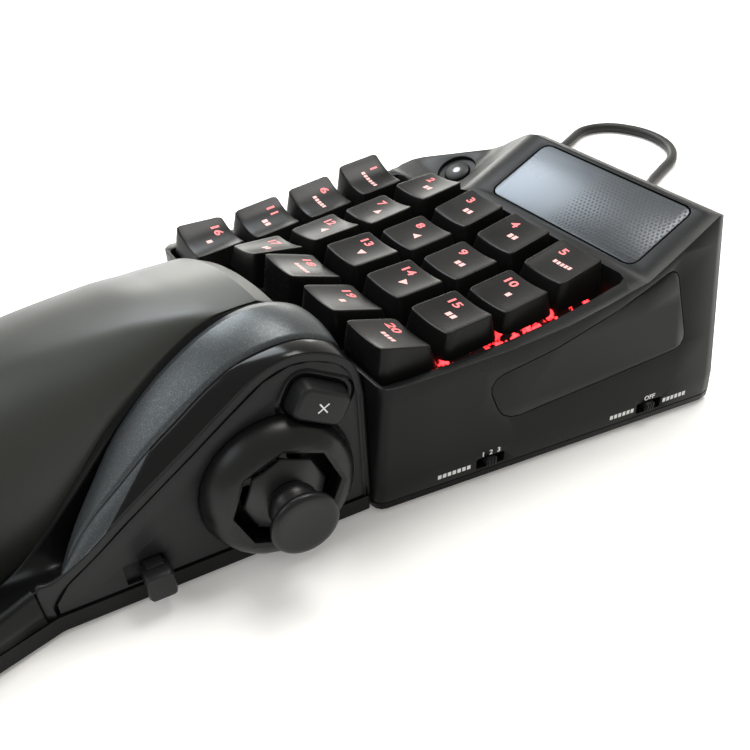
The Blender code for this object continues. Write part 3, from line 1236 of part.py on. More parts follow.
def build_stick_shaft(parent):
    """Steel shaft with the cross pin that rides in the yoke."""
    shaft = turned("stick_shaft", [(SHAFT_RADIUS * 0.7, -YOKE_BAR), (SHAFT_RADIUS, -YOKE_BAR / 2.0),
                                   (SHAFT_RADIUS, PIVOT_DEPTH + SHAFT_TOP)], 16)
    pin = disc("cross_pin", YOKE_PIN_RADIUS, -YOKE_HALF + YOKE_BAR + GAP, YOKE_HALF - YOKE_BAR - GAP, 12)
    join(shaft, turn_mesh(pin, Matrix.Rotation(math.radians(90.0), 4, "X")))
    return finish(shaft, STEEL, parent)


def build_stick_yoke(parent):
    """Square yoke round the shaft, with a trunnion on each side."""
    ring = box("stick_yoke", (-YOKE_HALF, -YOKE_HALF, -YOKE_BAR), (YOKE_HALF, YOKE_HALF, YOKE_BAR))
    inner = YOKE_HALF - YOKE_BAR
    cut(ring, box("yoke_hole", (-inner, -inner, -OVERRUN), (inner, inner, OVERRUN)))
    reach = GIMBAL_HALF - GIMBAL_WALL - GAP
    pin = disc("trunnion", YOKE_PIN_RADIUS, -reach, reach, 12)
    turn_mesh(pin, Matrix.Rotation(math.radians(90.0), 4, "Y"))
    cut(pin, box("pin_gap", (-inner - GAP, -OVERRUN, -OVERRUN), (inner + GAP, OVERRUN, OVERRUN)))
    join(ring, pin)
    return finish(ring, STEEL, parent)


def build_stick_gimbal(parent):
    """Open box round the yoke that holds its trunnions, with the flange it is mounted by."""
    half = GIMBAL_HALF
    inner = half - GIMBAL_WALL
    top = PIVOT_DEPTH - THUMB_PLATE_THICKNESS - WALL - 2.0 * GAP
    housing = box("stick_gimbal", (-half, -half, -GIMBAL_FLOOR), (half, half, top - GIMBAL_FLANGE_THICKNESS / 2.0))
    join(housing, disc("flange", GIMBAL_FLANGE_RADIUS, top - GIMBAL_FLANGE_THICKNESS, top))
    base_clear = -(STICK_UP - PALM_BASE_TOP_Z - 3.0 * GAP)
    reach = GIMBAL_FLANGE_RADIUS + OVERRUN
    cut(housing, box("base_space", (-reach, -reach, -GIMBAL_FLOOR), (reach, base_clear, top + OVERRUN)))
    cut(housing, box("gimbal_hole", (-inner, -inner, -GIMBAL_FLOOR + GIMBAL_WALL), (inner, inner, top + OVERRUN)))
    return finish(housing, BLACK_PLASTIC, parent)


def build_thumb_button(parent):
    """Rounded button beside the stick, tapering to its face."""
    back = THUMB_PLATE_THICKNESS + GAP
    shoulder = THUMB_BUTTON_PROUD - THUMB_BUTTON_TRAVEL / 2.0
    levels = ((-back, 0.0), (0.0, 0.0), (shoulder, -THUMB_BUTTON_TAPER),
              (THUMB_BUTTON_PROUD, -2.0 * THUMB_BUTTON_TAPER))
    rings = [[(x, y, z) for x, y in button_outline(distance)] for z, distance in levels]
    return finish(turn_mesh(loft("thumb_button", rings), button_matrix()), BLACK_PLASTIC, parent)


def build_lock_lever(parent):
    """Sliding catch that locks the palm unit's place."""
    lever = prism("lock_lever", rectangle(-LEVER_ALONG, LEVER_UP, LEVER_LENGTH, LEVER_WIDTH, RUNNING_GAP),
                  -LEVER_RECESS_DEPTH + GAP, LEVER_PROUD / 2.0)
    corner = RUNNING_GAP * 2.0
    tab_low = rectangle(-LEVER_ALONG, LEVER_TAB_UP, LEVER_TAB_LENGTH, LEVER_TAB_HEIGHT, corner)
    tab_high = rectangle(-LEVER_ALONG, LEVER_TAB_UP, LEVER_TAB_LENGTH - corner, LEVER_TAB_HEIGHT - corner, corner)
    levels = ((2.0 * RUNNING_GAP, tab_low), (LEVER_PROUD * 0.8, tab_low), (LEVER_PROUD, tab_high))
    join(lever, loft("lever_tab", [[(x, y, z) for x, y in outline] for z, outline in levels]))
    return finish(turn_mesh(lever, thumb_frame()), BLACK_PLASTIC, parent)


# Cable pieces
def relief_frame():
    """Matrix of the cable's exit: Z runs out of the case's back wall."""
    place = Matrix.Translation((CABLE_EXIT_X, CASE_BACK_Y, CABLE_EXIT_Z))
    return place @ Matrix.Rotation(math.radians(-90.0), 4, "X")


def build_strain_relief(parent):
    """Tapered boot where the cable leaves the case."""
    grip = WALL + GAP
    profile = [(RELIEF_TIP_RADIUS, -grip), (RELIEF_TIP_RADIUS, GAP), (RELIEF_BACK_RADIUS, GAP),
               (RELIEF_BACK_RADIUS, RELIEF_COLLAR), (RELIEF_TIP_RADIUS, RELIEF_LENGTH)]
    return finish(turn_mesh(turned("strain_relief", profile, 16), relief_frame()), BLACK_RUBBER, parent)


def coil_point(turn, total_turns):
    """Centre of the coil's tube after some turns: in through the lower layer, out through the upper."""
    half = total_turns / 2.0
    middle = abs(turn - half)
    radius = COIL_RADIUS - COIL_PITCH * (half - middle)
    climb = min(max((turn - half) / 0.5 + 0.5, 0.0), 1.0)
    height = CABLE_DIAMETER / 2.0 + COIL_LAYER_RISE * climb * climb * (3.0 - 2.0 * climb)
    angle = math.radians(COIL_START_DEGREES) + math.tau * turn
    return Vector((COIL_CENTRE_X + radius * math.cos(angle), COIL_CENTRE_Y + radius * math.sin(angle), height))


def coil_points():
    """Centre line of the coil, with a straight run of one diameter at both ends."""
    total = 2.0 * COIL_TURNS_PER_LAYER
    count = round(total * COIL_STEPS)
    points = [coil_point(total * i / count, total) for i in range(count + 1)]
    first_way = (points[0] - points[1]).normalized()
    last_way = (points[-1] - points[-2]).normalized()
    return [points[0] + first_way * CABLE_DIAMETER] + points + [points[-1] + last_way * CABLE_DIAMETER]


def least_coil_gap(points):
    """Smallest distance between the surfaces of two stretches of the coil half a turn or more apart."""
    apart = COIL_STEPS // 2
    least = min((points[i] - points[j]).length for i in range(len(points)) for j in range(i + apart, len(points)))
    return least - CABLE_DIAMETER


def build_cable(parent):
    """Free stretch on the floor, coil and plug."""
    coil = coil_points()
    print(f"coil's least gap to itself: {least_coil_gap(coil) / MM:.2f} mm")
    exit_way = Vector((0.0, 1.0, 0.0))
    start = Vector((CABLE_EXIT_X, CASE_BACK_Y + RELIEF_LENGTH + GAP, CABLE_EXIT_Z))
    entry_way = (coil[1] - coil[0]).normalized()
    end = coil[0] - entry_way * GAP
    lead_in = end - entry_way * CABLE_DIAMETER
    route = [start, start + exit_way * CABLE_DIAMETER, *CABLE_ROUTE, lead_in, end]
    points = smooth_route(route, CABLE_STEP, exit_way, entry_way)
    for point in points:
        point.z = max(point.z, CABLE_DIAMETER / 2.0)
    length = sum((b - a).length for a, b in zip(points, points[1:]))
    length += sum((b - a).length for a, b in zip(coil, coil[1:]))
    print(f"cable's whole length: {length / MM:.0f} mm")
    finish_tube(tube("cable", points, CABLE_DIAMETER, 2), CABLE_GREY, parent)
    finish_tube(tube("cable_coil", coil, CABLE_DIAMETER, 1), CABLE_GREY, parent)
    way = (coil[-1] - coil[-2]).normalized()
    level_way = Vector((way.x, way.y, 0.0)).normalized()
    tail_start = coil[-1] + way * GAP
    tail_end = tail_start + level_way * TAIL_LENGTH
    tail_end.z = PLUG_BODY_THICKNESS / 2.0 + GAP
    tail_route = [tail_start, tail_start + way * CABLE_DIAMETER, tail_end - level_way * CABLE_DIAMETER, tail_end]
    tail = smooth_route(tail_route, TAIL_STEP, way, level_way)
    for point in tail:
        point.z = max(point.z, CABLE_DIAMETER / 2.0)
    finish_tube(tube("cable_tail", tail, CABLE_DIAMETER, 2), CABLE_GREY, parent)
    build_plug(tail_end + level_way * GAP, level_way, parent)


def build_plug(start, way, parent):
    """Plug's moulded body with its boot, and its steel shell."""
    heading = math.atan2(way.y, way.x)
    turn = Matrix.Rotation(heading, 4, "Z") @ Matrix.Rotation(math.radians(90.0), 4, "Y")
    frame = Matrix.Translation(start) @ turn
    half_t = PLUG_BODY_THICKNESS / 2.0
    half_w = PLUG_BODY_WIDTH / 2.0
    tip = PLUG_BOOT_LENGTH + PLUG_BODY_LENGTH
    levels = ((0.0, CABLE_DIAMETER, CABLE_DIAMETER), (PLUG_BOOT_LENGTH, half_t * 1.4, half_t * 1.4),
              (PLUG_BOOT_LENGTH + GAP, half_t * 2.0, half_w * 1.8), (tip, half_t * 2.0, half_w * 2.0))
    rings = [[(x, y, z) for x, y in rectangle(0.0, 0.0, thick, wide, CABLE_DIAMETER / 4.0, 3)]
             for z, thick, wide in levels]
    body = finish(loft("usb_plug_body", rings), BLACK_RUBBER, parent)
    turn_mesh(body, frame)
    shell = box("usb_plug_shell", (-PLUG_SHELL_THICKNESS / 2.0, -PLUG_SHELL_WIDTH / 2.0, tip + GAP),
                (PLUG_SHELL_THICKNESS / 2.0, PLUG_SHELL_WIDTH / 2.0, tip + PLUG_SHELL_LENGTH))
    wall = GAP
    low = (-PLUG_SHELL_THICKNESS / 2.0 + wall, -PLUG_SHELL_WIDTH / 2.0 + wall, tip + OVERRUN)
    high = (0.0, PLUG_SHELL_WIDTH / 2.0 - wall, tip + PLUG_SHELL_LENGTH + OVERRUN)
    cut(shell, box("plug_mouth", low, high))
    finish(turn_mesh(shell, frame), STEEL, parent)


def build_stick(palm):
    """Stick group: each moving part's empty sits on the pivot."""
    pivot = stick_matrix() @ Matrix.Translation((0.0, 0.0, -PIVOT_DEPTH))
    turn = pivot.to_euler()
    holder = add_empty("stick_pivot", palm, pivot.translation, turn)
    build_stick_cap(holder)
    build_stick_skirt(holder)
    build_stick_shaft(holder)
    build_stick_yoke(holder)
    build_stick_gimbal(holder)


def build_key_unit(parent):
    build_bottom_case(parent)
    build_top_case(parent)
    build_side_panel(parent)
    build_key_plate(parent)
    build_switch_board(parent)
    for number in range(1, KEY_COLUMNS * KEY_ROWS + 1):
        build_keycap(number, parent)
    build_touchpad(parent)
    build_home_button(parent)
    build_slider("profile_slider", PROFILE_SLIDER_Y, parent)
    build_slider("mode_slider", MODE_SLIDER_Y, parent)
    places = [(CASE_LEFT_X + FOOT_MARGIN, CASE_FRONT_Y + FOOT_MARGIN),
              (CASE_FRONT_RIGHT_X - FOOT_MARGIN, CASE_NOTCH_Y + FOOT_MARGIN),
              (CASE_BACK_RIGHT_X - FOOT_MARGIN * 1.5, CASE_BACK_Y - FOOT_MARGIN),
              (CASE_LEFT_X + FOOT_MARGIN, CASE_SHOULDER_Y - FOOT_MARGIN)]
    build_feet("key_unit_foot", places, parent)
    build_strain_relief(parent)
    build_cable(parent)


def build_palm_unit(parent):
    build_palm_base(parent)
    build_palm_pad(parent)
    build_channel_trim(parent)
    build_front_skirt(parent)
    build_thumb_shell(parent)
    build_gloss_trim(parent)
    build_thumb_plate(parent)
    build_stick_collar(parent)
    build_thumb_button(parent)
    build_lock_lever(parent)
    build_stick(parent)
    places = [(PALM_LEFT_X + FOOT_MARGIN * 1.5, CASE_FRONT_Y - FOOT_MARGIN),
              (PALM_RIGHT_BACK_X - FOOT_MARGIN, THUMB_REAR_Y - FOOT_MARGIN),
              ((PALM_LEFT_X + PALM_FLARE_X) / 2.0, PALM_FRONT_Y + FOOT_MARGIN),
              (PALM_LEFT_X + FOOT_MARGIN, PALM_FLARE_Y), (PALM_FLARE_X - FOOT_MARGIN, PALM_FLARE_Y)]
    build_feet("palm_unit_foot", places, parent)


def centre_on_floor(whole):
    """Move the model so that the middle of its box's base, cord left out, is at the world's origin."""
    graph = bpy.context.evaluated_depsgraph_get()
    corners = []
    for piece in bpy.data.objects:
        if piece.type == "EMPTY" or piece.name in CORD_PIECES:
            continue
        evaluated = piece.evaluated_get(graph)
        mesh = evaluated.to_mesh()
        corners += [piece.matrix_world @ vert.co for vert in mesh.vertices]
        evaluated.to_mesh_clear()
    middle_x = (min(p.x for p in corners) + max(p.x for p in corners)) / 2.0
    middle_y = (min(p.y for p in corners) + max(p.y for p in corners)) / 2.0
    whole.location = (-middle_x, -middle_y, 0.0)
    bpy.context.view_layer.update()
    print(f"grid frame's place: {-middle_x / MM:.3f}, {-middle_y / MM:.3f} mm")


def build():
    clear_scene()
    keypad = add_empty("keypad")
    build_key_unit(keypad)
    build_palm_unit(keypad)
    bpy.context.view_layer.update()
    centre_on_floor(keypad)


build()
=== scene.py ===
"""Looks of a left-hand gaming keypad with a sliding palm rest and a thumb stick.

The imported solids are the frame. Each class below is one sub-assembly: it holds its sizes in metres, and
some tables in millimetres where it says so, builds its meshes with bmesh operators and dresses them. Places
are given in the key grid's frame, whose X = 0 is the middle key column and whose Y = 0 is the top key row;
Grid moves them to the row frame.
"""

import logging
import math
from collections.abc import Callable, Sequence
from dataclasses import dataclass
from enum import Enum
from typing import Any

import bmesh
import bpy
from mathutils import Euler, Matrix, Vector


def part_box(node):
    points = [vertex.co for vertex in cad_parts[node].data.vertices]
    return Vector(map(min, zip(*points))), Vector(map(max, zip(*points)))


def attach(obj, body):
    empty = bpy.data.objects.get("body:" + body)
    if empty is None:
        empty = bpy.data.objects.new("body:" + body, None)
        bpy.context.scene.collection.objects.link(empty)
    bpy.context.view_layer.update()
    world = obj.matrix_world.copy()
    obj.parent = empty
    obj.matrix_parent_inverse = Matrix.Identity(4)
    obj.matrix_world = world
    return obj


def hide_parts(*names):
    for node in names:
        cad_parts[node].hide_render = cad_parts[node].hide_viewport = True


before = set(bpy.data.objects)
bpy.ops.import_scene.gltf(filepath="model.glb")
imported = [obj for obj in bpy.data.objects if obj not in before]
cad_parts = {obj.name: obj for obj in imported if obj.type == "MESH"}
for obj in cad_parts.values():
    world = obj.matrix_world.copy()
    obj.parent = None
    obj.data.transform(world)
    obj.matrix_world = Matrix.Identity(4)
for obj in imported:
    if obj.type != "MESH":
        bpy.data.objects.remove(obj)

LOG = logging.getLogger("keypad")
MM = 0.001
MICRON = 0.001 * MM
NOISE_LOW, NOISE_HIGH = 0.3, 0.7
SHARP_DEGREES = 35.0
WELD_DISTANCE = 0.005 * MM
MERGE_DISTANCE = 0.01 * MM
TINY = 1e-9

Point = Vector | tuple[float, float, float]
Colour = tuple[float, float, float]
Pair = tuple[float, float]
Shape = bmesh.types.BMesh
Material = bpy.types.Material


# Shader trees
class Wire:
    """One number in a shader tree; arithmetic on it adds Math nodes."""

    def __init__(self, tree: "Tree", socket: bpy.types.NodeSocket) -> None:
        """Wrap a socket of the tree."""
        self.tree = tree
        self.socket = socket

    def _math(self, operation: str, *values: "Wire | float") -> "Wire":
        """Add a Math node.

        Args:
            operation: name of the Math node's operation.
            values: its inputs in order.

        Returns:
            The node's result.
        """
        return self.tree.wire("ShaderNodeMath", {"operation": operation}, dict(enumerate(values)))

    def __add__(self, other: "Wire | float") -> "Wire":
        """Sum of two values."""
        return self._math("ADD", self, other)

    def __sub__(self, other: "Wire | float") -> "Wire":
        """Difference of two values."""
        return self._math("SUBTRACT", self, other)

    def __rsub__(self, other: float) -> "Wire":
        """Difference from a number."""
        return self._math("SUBTRACT", other, self)

    def __mul__(self, other: "Wire | float") -> "Wire":
        """Product of two values."""
        return self._math("MULTIPLY", self, other)

    def __truediv__(self, other: "Wire | float") -> "Wire":
        """Quotient of two values."""
        return self._math("DIVIDE", self, other)

    def power(self, exponent: float) -> "Wire":
        """Value raised to a power."""
        return self._math("POWER", self, exponent)

    def least(self, other: "Wire | float") -> "Wire":
        """Smaller of two values."""
        return self._math("MINIMUM", self, other)

    def cell(self, pitch: float) -> "Wire":
        """Distance from the middle of the cell that the value lies in, for cells of one pitch."""
        return self._math("PINGPONG", self, pitch / 2.0)

    def ramp(self, low: float, high: float, start: float = 0.0, end: float = 1.0) -> "Wire":
        """Smooth step between two levels of this value.

        Args:
            low: level at which the step starts.
            high: level at which it ends.
            start: result below low.
            end: result above high.

        Returns:
            The stepped value.
        """
        values = {"Value": self, "From Min": low, "From Max": high, "To Min": start, "To Max": end}
        return self.tree.wire("ShaderNodeMapRange", {"interpolation_type": "SMOOTHSTEP"}, values)

    def spread(self, start: float = 0.0, end: float = 1.0) -> "Wire":
        """Noise stretched between two levels, over the range that most of it lies in."""
        return self.ramp(NOISE_LOW, NOISE_HIGH, start, end)


class Tree:
    """Node tree of one finish."""

    def __init__(self, name: str) -> None:
        """Start a material with an empty tree."""
        self.material = bpy.data.materials.new(name)
        self.material.use_nodes = True
        self.nodes = self.material.node_tree.nodes
        self.nodes.clear()
        self.place = self.node("ShaderNodeTexCoord", {}, {}).outputs["Object"]

    def node(self, kind: str, settings: dict[str, Any], values: dict[Any, Any]) -> bpy.types.Node:
        """Add a node.

        Args:
            kind: the node's type.
            settings: its own options.
            values: numbers, colours, sockets or wires for its inputs.

        Returns:
            The node.
        """
        made = self.nodes.new(kind)
        for name, setting in settings.items():
            setattr(made, name, setting)
        for name, value in values.items():
            value = value.socket if isinstance(value, Wire) else value
            if isinstance(value, bpy.types.NodeSocket):
                self.material.node_tree.links.new(value, made.inputs[name])
            else:
                made.inputs[name].default_value = value
        return made

    def wire(self, kind: str, settings: dict[str, Any], values: dict[Any, Any],
             output: int | str = 0) -> Wire:
        """Add a node and wrap one of its outputs."""
        return Wire(self, self.node(kind, settings, values).outputs[output])

    def noise(self, size: float, detail: float = 2.0, roughness: float = 0.5) -> Wire:
        """Noise whose patches are about one size across.

        Args:
            size: size of a patch in metres.
            detail: octaves of finer noise.
            roughness: share of each finer octave.

        Returns:
            A value about 0.5.
        """
        values = {"Vector": self.place, "Scale": 1.0 / size, "Detail": detail, "Roughness": roughness}
        return self.wire("ShaderNodeTexNoise", {}, values, "Fac")

    def axes(self) -> tuple[Wire, Wire, Wire]:
        """X, Y and Z of the shaded point in the row frame."""
        split = self.node("ShaderNodeSeparateXYZ", {}, {0: self.place})
        x, y, z = (Wire(self, split.outputs[i]) for i in range(3))
        return x, y, z

    def mix(self, share: Wire | float, one: Any, other: Any) -> bpy.types.NodeSocket:
        """Colour between two, by a share."""
        colours = [(*c, 1.0) if isinstance(c, tuple) else c for c in (one, other)]
        values = {0: share, 6: colours[0], 7: colours[1]}
        return self.node("ShaderNodeMix", {"data_type": "RGBA"}, values).outputs[2]

    def bump(self, height: Wire, distance: float) -> bpy.types.NodeSocket:
        """Normal bent by a height, whose 0 to 1 spans the distance in metres."""
        return self.node("ShaderNodeBump", {}, {"Height": height, "Distance": distance}).outputs["Normal"]

    def glow(self, level: Wire, colour: Colour, strength: float) -> dict[str, Any]:
        """Shader values of a light of one colour, by a level from 0 to 1."""
        return {"Emission Color": self.mix(level, (0.0, 0.0, 0.0), colour), "Emission Strength": strength}

    def close(self, values: dict[Any, Any]) -> Material:
        """End the tree in a Principled shader and return its material."""
        shader = self.node("ShaderNodeBsdfPrincipled", {}, values)
        self.node("ShaderNodeOutputMaterial", {}, {"Surface": shader.outputs[0]})
        return self.material


# Finishes
def shade(colour: Colour, share: float) -> Colour:
    """Colour made darker or lighter by a share."""
    red, green, blue = colour
    return red * share, green * share, blue * share


@dataclass(frozen=True)
class Moulded:
    """Moulded plastic or rubber: grain, faint mottling and handled patches."""

    name: str
    colour: Colour
    roughness: float
    grain: float = 0.35 * MM
    depth: float = 6.0 * MICRON
    mottle: float = 0.12
    smudge: float = 0.05
    smudge_size: float = 24.0 * MM
    metallic: float = 0.0
    specular: float = 0.5
    glow: float = 0.0

    def make(self) -> Material:
        """Build the material."""
        tree = Tree(self.name)
        fine = tree.noise(self.grain, 2.0, 0.6)
        patch = tree.noise(self.smudge_size, 3.0, 0.55)
        lift = (fine - 0.5) * self.mottle + (patch - 0.5) * self.mottle + 1.0
        low, high = 1.0 - self.mottle, 1.0 + self.mottle
        level = lift.ramp(1.0 - self.mottle / 2.0, 1.0 + self.mottle / 2.0)
        return tree.close({
            "Base Color": tree.mix(level, shade(self.colour, low), shade(self.colour, high)),
            "Roughness": patch.spread(self.roughness - self.smudge, self.roughness + self.smudge),
            "Normal": tree.bump(fine, self.depth),
            "Metallic": self.metallic,
            "Specular IOR Level": self.specular,
            "Emission Strength": self.glow,
        })


@dataclass(frozen=True)
class Flaked:
    """Metallic paint: fine bright flakes in a dark base, under a satin coat."""

    name: str
    colour: Colour
    flake_colour: Colour
    roughness: float
    flake: float = 0.12 * MM
    flake_levels: Pair = (0.72, 0.98)
    patch: float = 30.0 * MM
    metallic: float = 0.3
    flake_metallic: float = 0.4
    flake_smoothness: float = 0.06
    depth: float = 2.0 * MICRON
    coat: float = 0.12
    coat_roughness: float = 0.3

    def make(self) -> Material:
        """Build the material."""
        tree = Tree(self.name)
        values = {"Vector": tree.place, "Scale": 1.0 / self.flake}
        flakes = tree.node("ShaderNodeTexVoronoi", {}, values)
        chance = tree.wire("ShaderNodeSeparateColor", {}, {0: flakes.outputs["Color"]})
        bright = chance.ramp(*self.flake_levels)
        rough = tree.noise(self.patch).spread(self.roughness - 0.03, self.roughness + 0.04)
        return tree.close({
            "Base Color": tree.mix(bright, self.colour, self.flake_colour),
            "Metallic": bright * self.flake_metallic + self.metallic,
            "Roughness": rough - bright * self.flake_smoothness,
            "Normal": tree.bump(chance, self.depth),
            "Coat Weight": self.coat,
            "Coat Roughness": self.coat_roughness,
        })


@dataclass(frozen=True)
class Lit:
    """Print that lets the keys' light through, a little unevenly."""

    name: str
    colour: Colour
    glow: Colour
    strength: float
    patch: float = 5.0 * MM
    least_level: float = 0.75

    def make(self) -> Material:
        """Build the material."""
        tree = Tree(self.name)
        patch = tree.noise(self.patch)
        return tree.close({
            "Base Color": tree.mix(patch.spread(), self.colour, shade(self.colour, 0.8)),
            "Roughness": patch.ramp(0.2, 0.8, 0.4, 0.5),
            **tree.glow(patch.spread(self.least_level, 1.0), self.glow, self.strength),
        })


@dataclass(frozen=True)
class Dotted:
    """Touchpad's satin film with a painted reflection, darker to the right, and fine dots that fade in
    towards that side.
    """

    name: str
    colour: Colour
    dot_colour: Colour
    roughness: float
    origin: Pair
    slope: float = 0.4145
    pitch: float = 1.3 * MM
    dot: float = 0.36 * MM
    start: float = 14.0 * MM
    end: float = 24.0 * MM
    # span over which the painted reflection fades, the film darkening towards the right
    dark_span: Pair = (-8.0 * MM, 30.0 * MM)
    metallic: float = 0.3
    patch: float = 18.0 * MM
    depth: float = 12.0 * MICRON

    def make(self) -> Material:
        """Build the material."""
        tree = Tree(self.name)
        x, y, _ = tree.axes()
        along = x - self.origin[0]
        up = (y - self.origin[1]) / math.cos(self.slope)
        row = self.pitch * math.sqrt(3.0)
        one = along.cell(self.pitch).power(2.0) + up.cell(row).power(2.0)
        other = (self.pitch / 2.0 - along.cell(self.pitch)).power(2.0) + (row / 2.0 - up.cell(row)).power(2.0)
        dots = one.least(other).ramp((self.dot * 0.7) ** 2, (self.dot * 1.3) ** 2, 1.0, 0.0)
        field = dots * along.ramp(self.start, self.end)
        patch = tree.noise(self.patch)
        film = tree.mix(patch.spread(), self.colour, shade(self.colour, 1.12))
        # painted reflection: the film darkens towards the right, so its left part stays lighter like the
        # window's reflection on it
        painted_reflection_film = tree.mix(along.ramp(*self.dark_span), film, shade(self.colour, 0.4))
        return tree.close({
            "Base Color": tree.mix(field * 0.8, painted_reflection_film, self.dot_colour),
            "Roughness": patch.spread(self.roughness - 0.03, self.roughness + 0.03) + field * 0.2,
            "Metallic": self.metallic,
            "Normal": tree.bump(field, self.depth),
        })


@dataclass(frozen=True)
class Glowing:
    """Plastic in the key well with painted red LED light: it glows in broken spots beside the right column.
    """

    name: str
    colour: Colour
    glow: Colour
    strength: float
    origin_x: float
    start: float = 42.0 * MM
    low: float = 29.5 * MM
    spot: float = 3.6 * MM
    grain: float = 2.0 * MM
    fade: Pair = (-3.0 * MM, 2.0 * MM)
    rise: float = 1.0 * MM

    def make(self) -> Material:
        """Build the material."""
        tree = Tree(self.name)
        x, _, z = tree.axes()
        spots = tree.noise(self.spot, 2.0, 0.6).ramp(0.5, 0.6)
        side = (x - self.origin_x).ramp(self.start + self.fade[0], self.start + self.fade[1])
        # painted light: the LEDs' red light shows as glow only in spots beside the right column and above a
        # height
        level = spots * side * z.ramp(self.low, self.low + self.rise)
        return tree.close({
            "Base Color": tree.mix(spots, self.colour, shade(self.colour, 0.8)),
            "Roughness": tree.noise(self.grain).ramp(0.2, 0.8, 0.4, 0.5),
            **tree.glow(level, self.glow, self.strength),
        })


class Finishes:
    """Every finish of the keypad, each made once."""

    def __init__(self, grid: "Grid") -> None:
        """Make the materials.

        Args:
            grid: the key grid's frame, for patterns that have a place.
        """
        at = grid.origin
        black: Colour = (0.004, 0.004, 0.0045)
        red: Colour = (1.0, 0.03, 0.035)
        smooth: dict[str, float] = {"depth": 1.0 * MICRON, "smudge": 0.03}
        self.case = Moulded("satin_black_case", (0.006, 0.0063, 0.0065), 0.32, specular=0.12).make()
        self.gloss = Moulded("gloss_black", black, 0.12, specular=0.16, **smooth).make()
        self.key = Moulded("satin_black_key", (0.0062, 0.006, 0.006), 0.3, depth=3.0 * MICRON,
                           specular=0.15).make()
        self.rubber = Moulded("matt_black_rubber", (0.008, 0.008, 0.008), 0.62).make()
        self.stick = Moulded("stick_rubber", (0.0065, 0.0065, 0.007), 0.34, specular=0.26).make()
        self.plate = Moulded("matt_black_plate", (0.0085, 0.0088, 0.0095), 0.42, depth=9.0 * MICRON,
                             specular=0.24).make()
        self.collar = Moulded("satin_black_collar", (0.0065, 0.0068, 0.007), 0.3, specular=0.26).make()
        self.palm = Moulded("soft_touch_grey", (0.024, 0.026, 0.022), 0.4, mottle=0.08,
                            smudge_size=40.0 * MM, specular=0.34).make()
        self.shell = Flaked("metallic_grey", (0.031, 0.037, 0.04), (0.1, 0.115, 0.125), 0.4).make()
        self.touch = Dotted("touchpad_film", (0.075, 0.092, 0.112), (0.012, 0.014, 0.016), 0.3,
                            (at.x, at.y)).make()
        self.trim = Moulded("gloss_trim_black", black, 0.18, specular=0.2, **smooth).make()
        self.channel = Moulded("gloss_channel_black", black, 0.3, depth=1.0 * MICRON, specular=0.16).make()
        self.skirt = Moulded("grey_skirt", (0.013, 0.013, 0.014), 0.34, specular=0.35).make()
        self.steel = Moulded("plain_steel", (0.55, 0.55, 0.56), 0.28, metallic=1.0, mottle=0.04).make()
        self.cable = Moulded("cable_jacket", (0.012, 0.012, 0.0115), 0.45, specular=0.3).make()
        # the switch board and the key plate carry painted red LED light
        self.switch = Glowing("red_switch", (0.05, 0.004, 0.004), red, 6.0, at.x).make()
        self.well = Glowing("lit_key_plate", (0.008, 0.007, 0.007), red, 5.0, at.x).make()
        self.legend = Lit("lit_legend", (0.4, 0.09, 0.1), (1.0, 0.17, 0.17), 1.1).make()
        self.mark = Lit("lit_mark", (0.4, 0.2, 0.2), (1.0, 0.5, 0.46), 0.9).make()
        self.silver = Moulded("silver_mark", (0.2, 0.2, 0.21), 0.38, metallic=0.8, mottle=0.04).make()
        self.print = Moulded("white_print", (0.7, 0.7, 0.7), 0.5, mottle=0.04).make()


# Mesh helpers
def held(value: float, low: float = 0.0, high: float = 1.0) -> float:
    """Value held between two levels."""
    return min(max(value, low), high)


def eased(share: float) -> float:
    """Share of a way, held between 0 and 1, with a smooth start and end."""
    share = held(share)
    return share * share * (3.0 - 2.0 * share)


def hump(share: float) -> float:
    """Hump over a way: 1 half-way and 0 at both ends."""
    return 4.0 * share * (1.0 - share)


def along_line(line: Sequence[Vector], reach: float) -> Vector:
    """Point of a line at a place counted in its points."""
    i = min(int(reach), len(line) - 2)
    return line[i].lerp(line[i + 1], reach - i)


def ahead_at(line: Sequence[Vector], i: int) -> Vector:
    """Way from the point before one point of a line to the point after it."""
    return line[min(i + 1, len(line) - 1)] - line[max(i - 1, 0)]


def between(a: Any, b: Any, c: Any, d: Any, t: float) -> Any:
    """Value or point of a smooth curve between the middle two of four, at a share of the way."""
    bend = (a * 2.0 - b * 5.0 + c * 4.0 - d) * t**2 + (b * 3.0 - a - c * 3.0 + d) * t**3
    return (b * 2.0 + (c - a) * t + bend) / 2.0


def smooth_line(points: Sequence[Point], per_span: int) -> list[Vector]:
    """Points along a smooth curve through the given ones.

    Args:
        points: points that the curve passes.
        per_span: new points for each pair of neighbours.

    Returns:
        The curve's points, the given ones among them.
    """
    given = [Vector(p) for p in points]
    padded = [given[0] * 2.0 - given[1], *given, given[-1] * 2.0 - given[-2]]
    made: list[Vector] = []
    for four in zip(padded, padded[1:], padded[2:], padded[3:]):
        made += [between(*four, k / per_span) for k in range(per_span)]
    return [*made, given[-1]]


def piece_of(name: str, shape: Shape, finish: Material,
             smooth: float = 40.0) -> bpy.types.Object:
    """Turn a bmesh into a piece, smooth up to an angle.

    Args:
        name: the piece's name.
        shape: its mesh, which is freed.
        finish: its material.
        smooth: the largest angle in degrees that shades smooth.

    Returns:
        The piece.
    """
    mesh = bpy.data.meshes.new(name)
    shape.to_mesh(mesh)
    shape.free()
    mesh.shade_smooth()
    mesh.set_sharp_from_angle(angle=math.radians(smooth))
    mesh.materials.append(finish)
    piece = bpy.data.objects.new(name, mesh)
    bpy.context.scene.collection.objects.link(piece)
    return piece


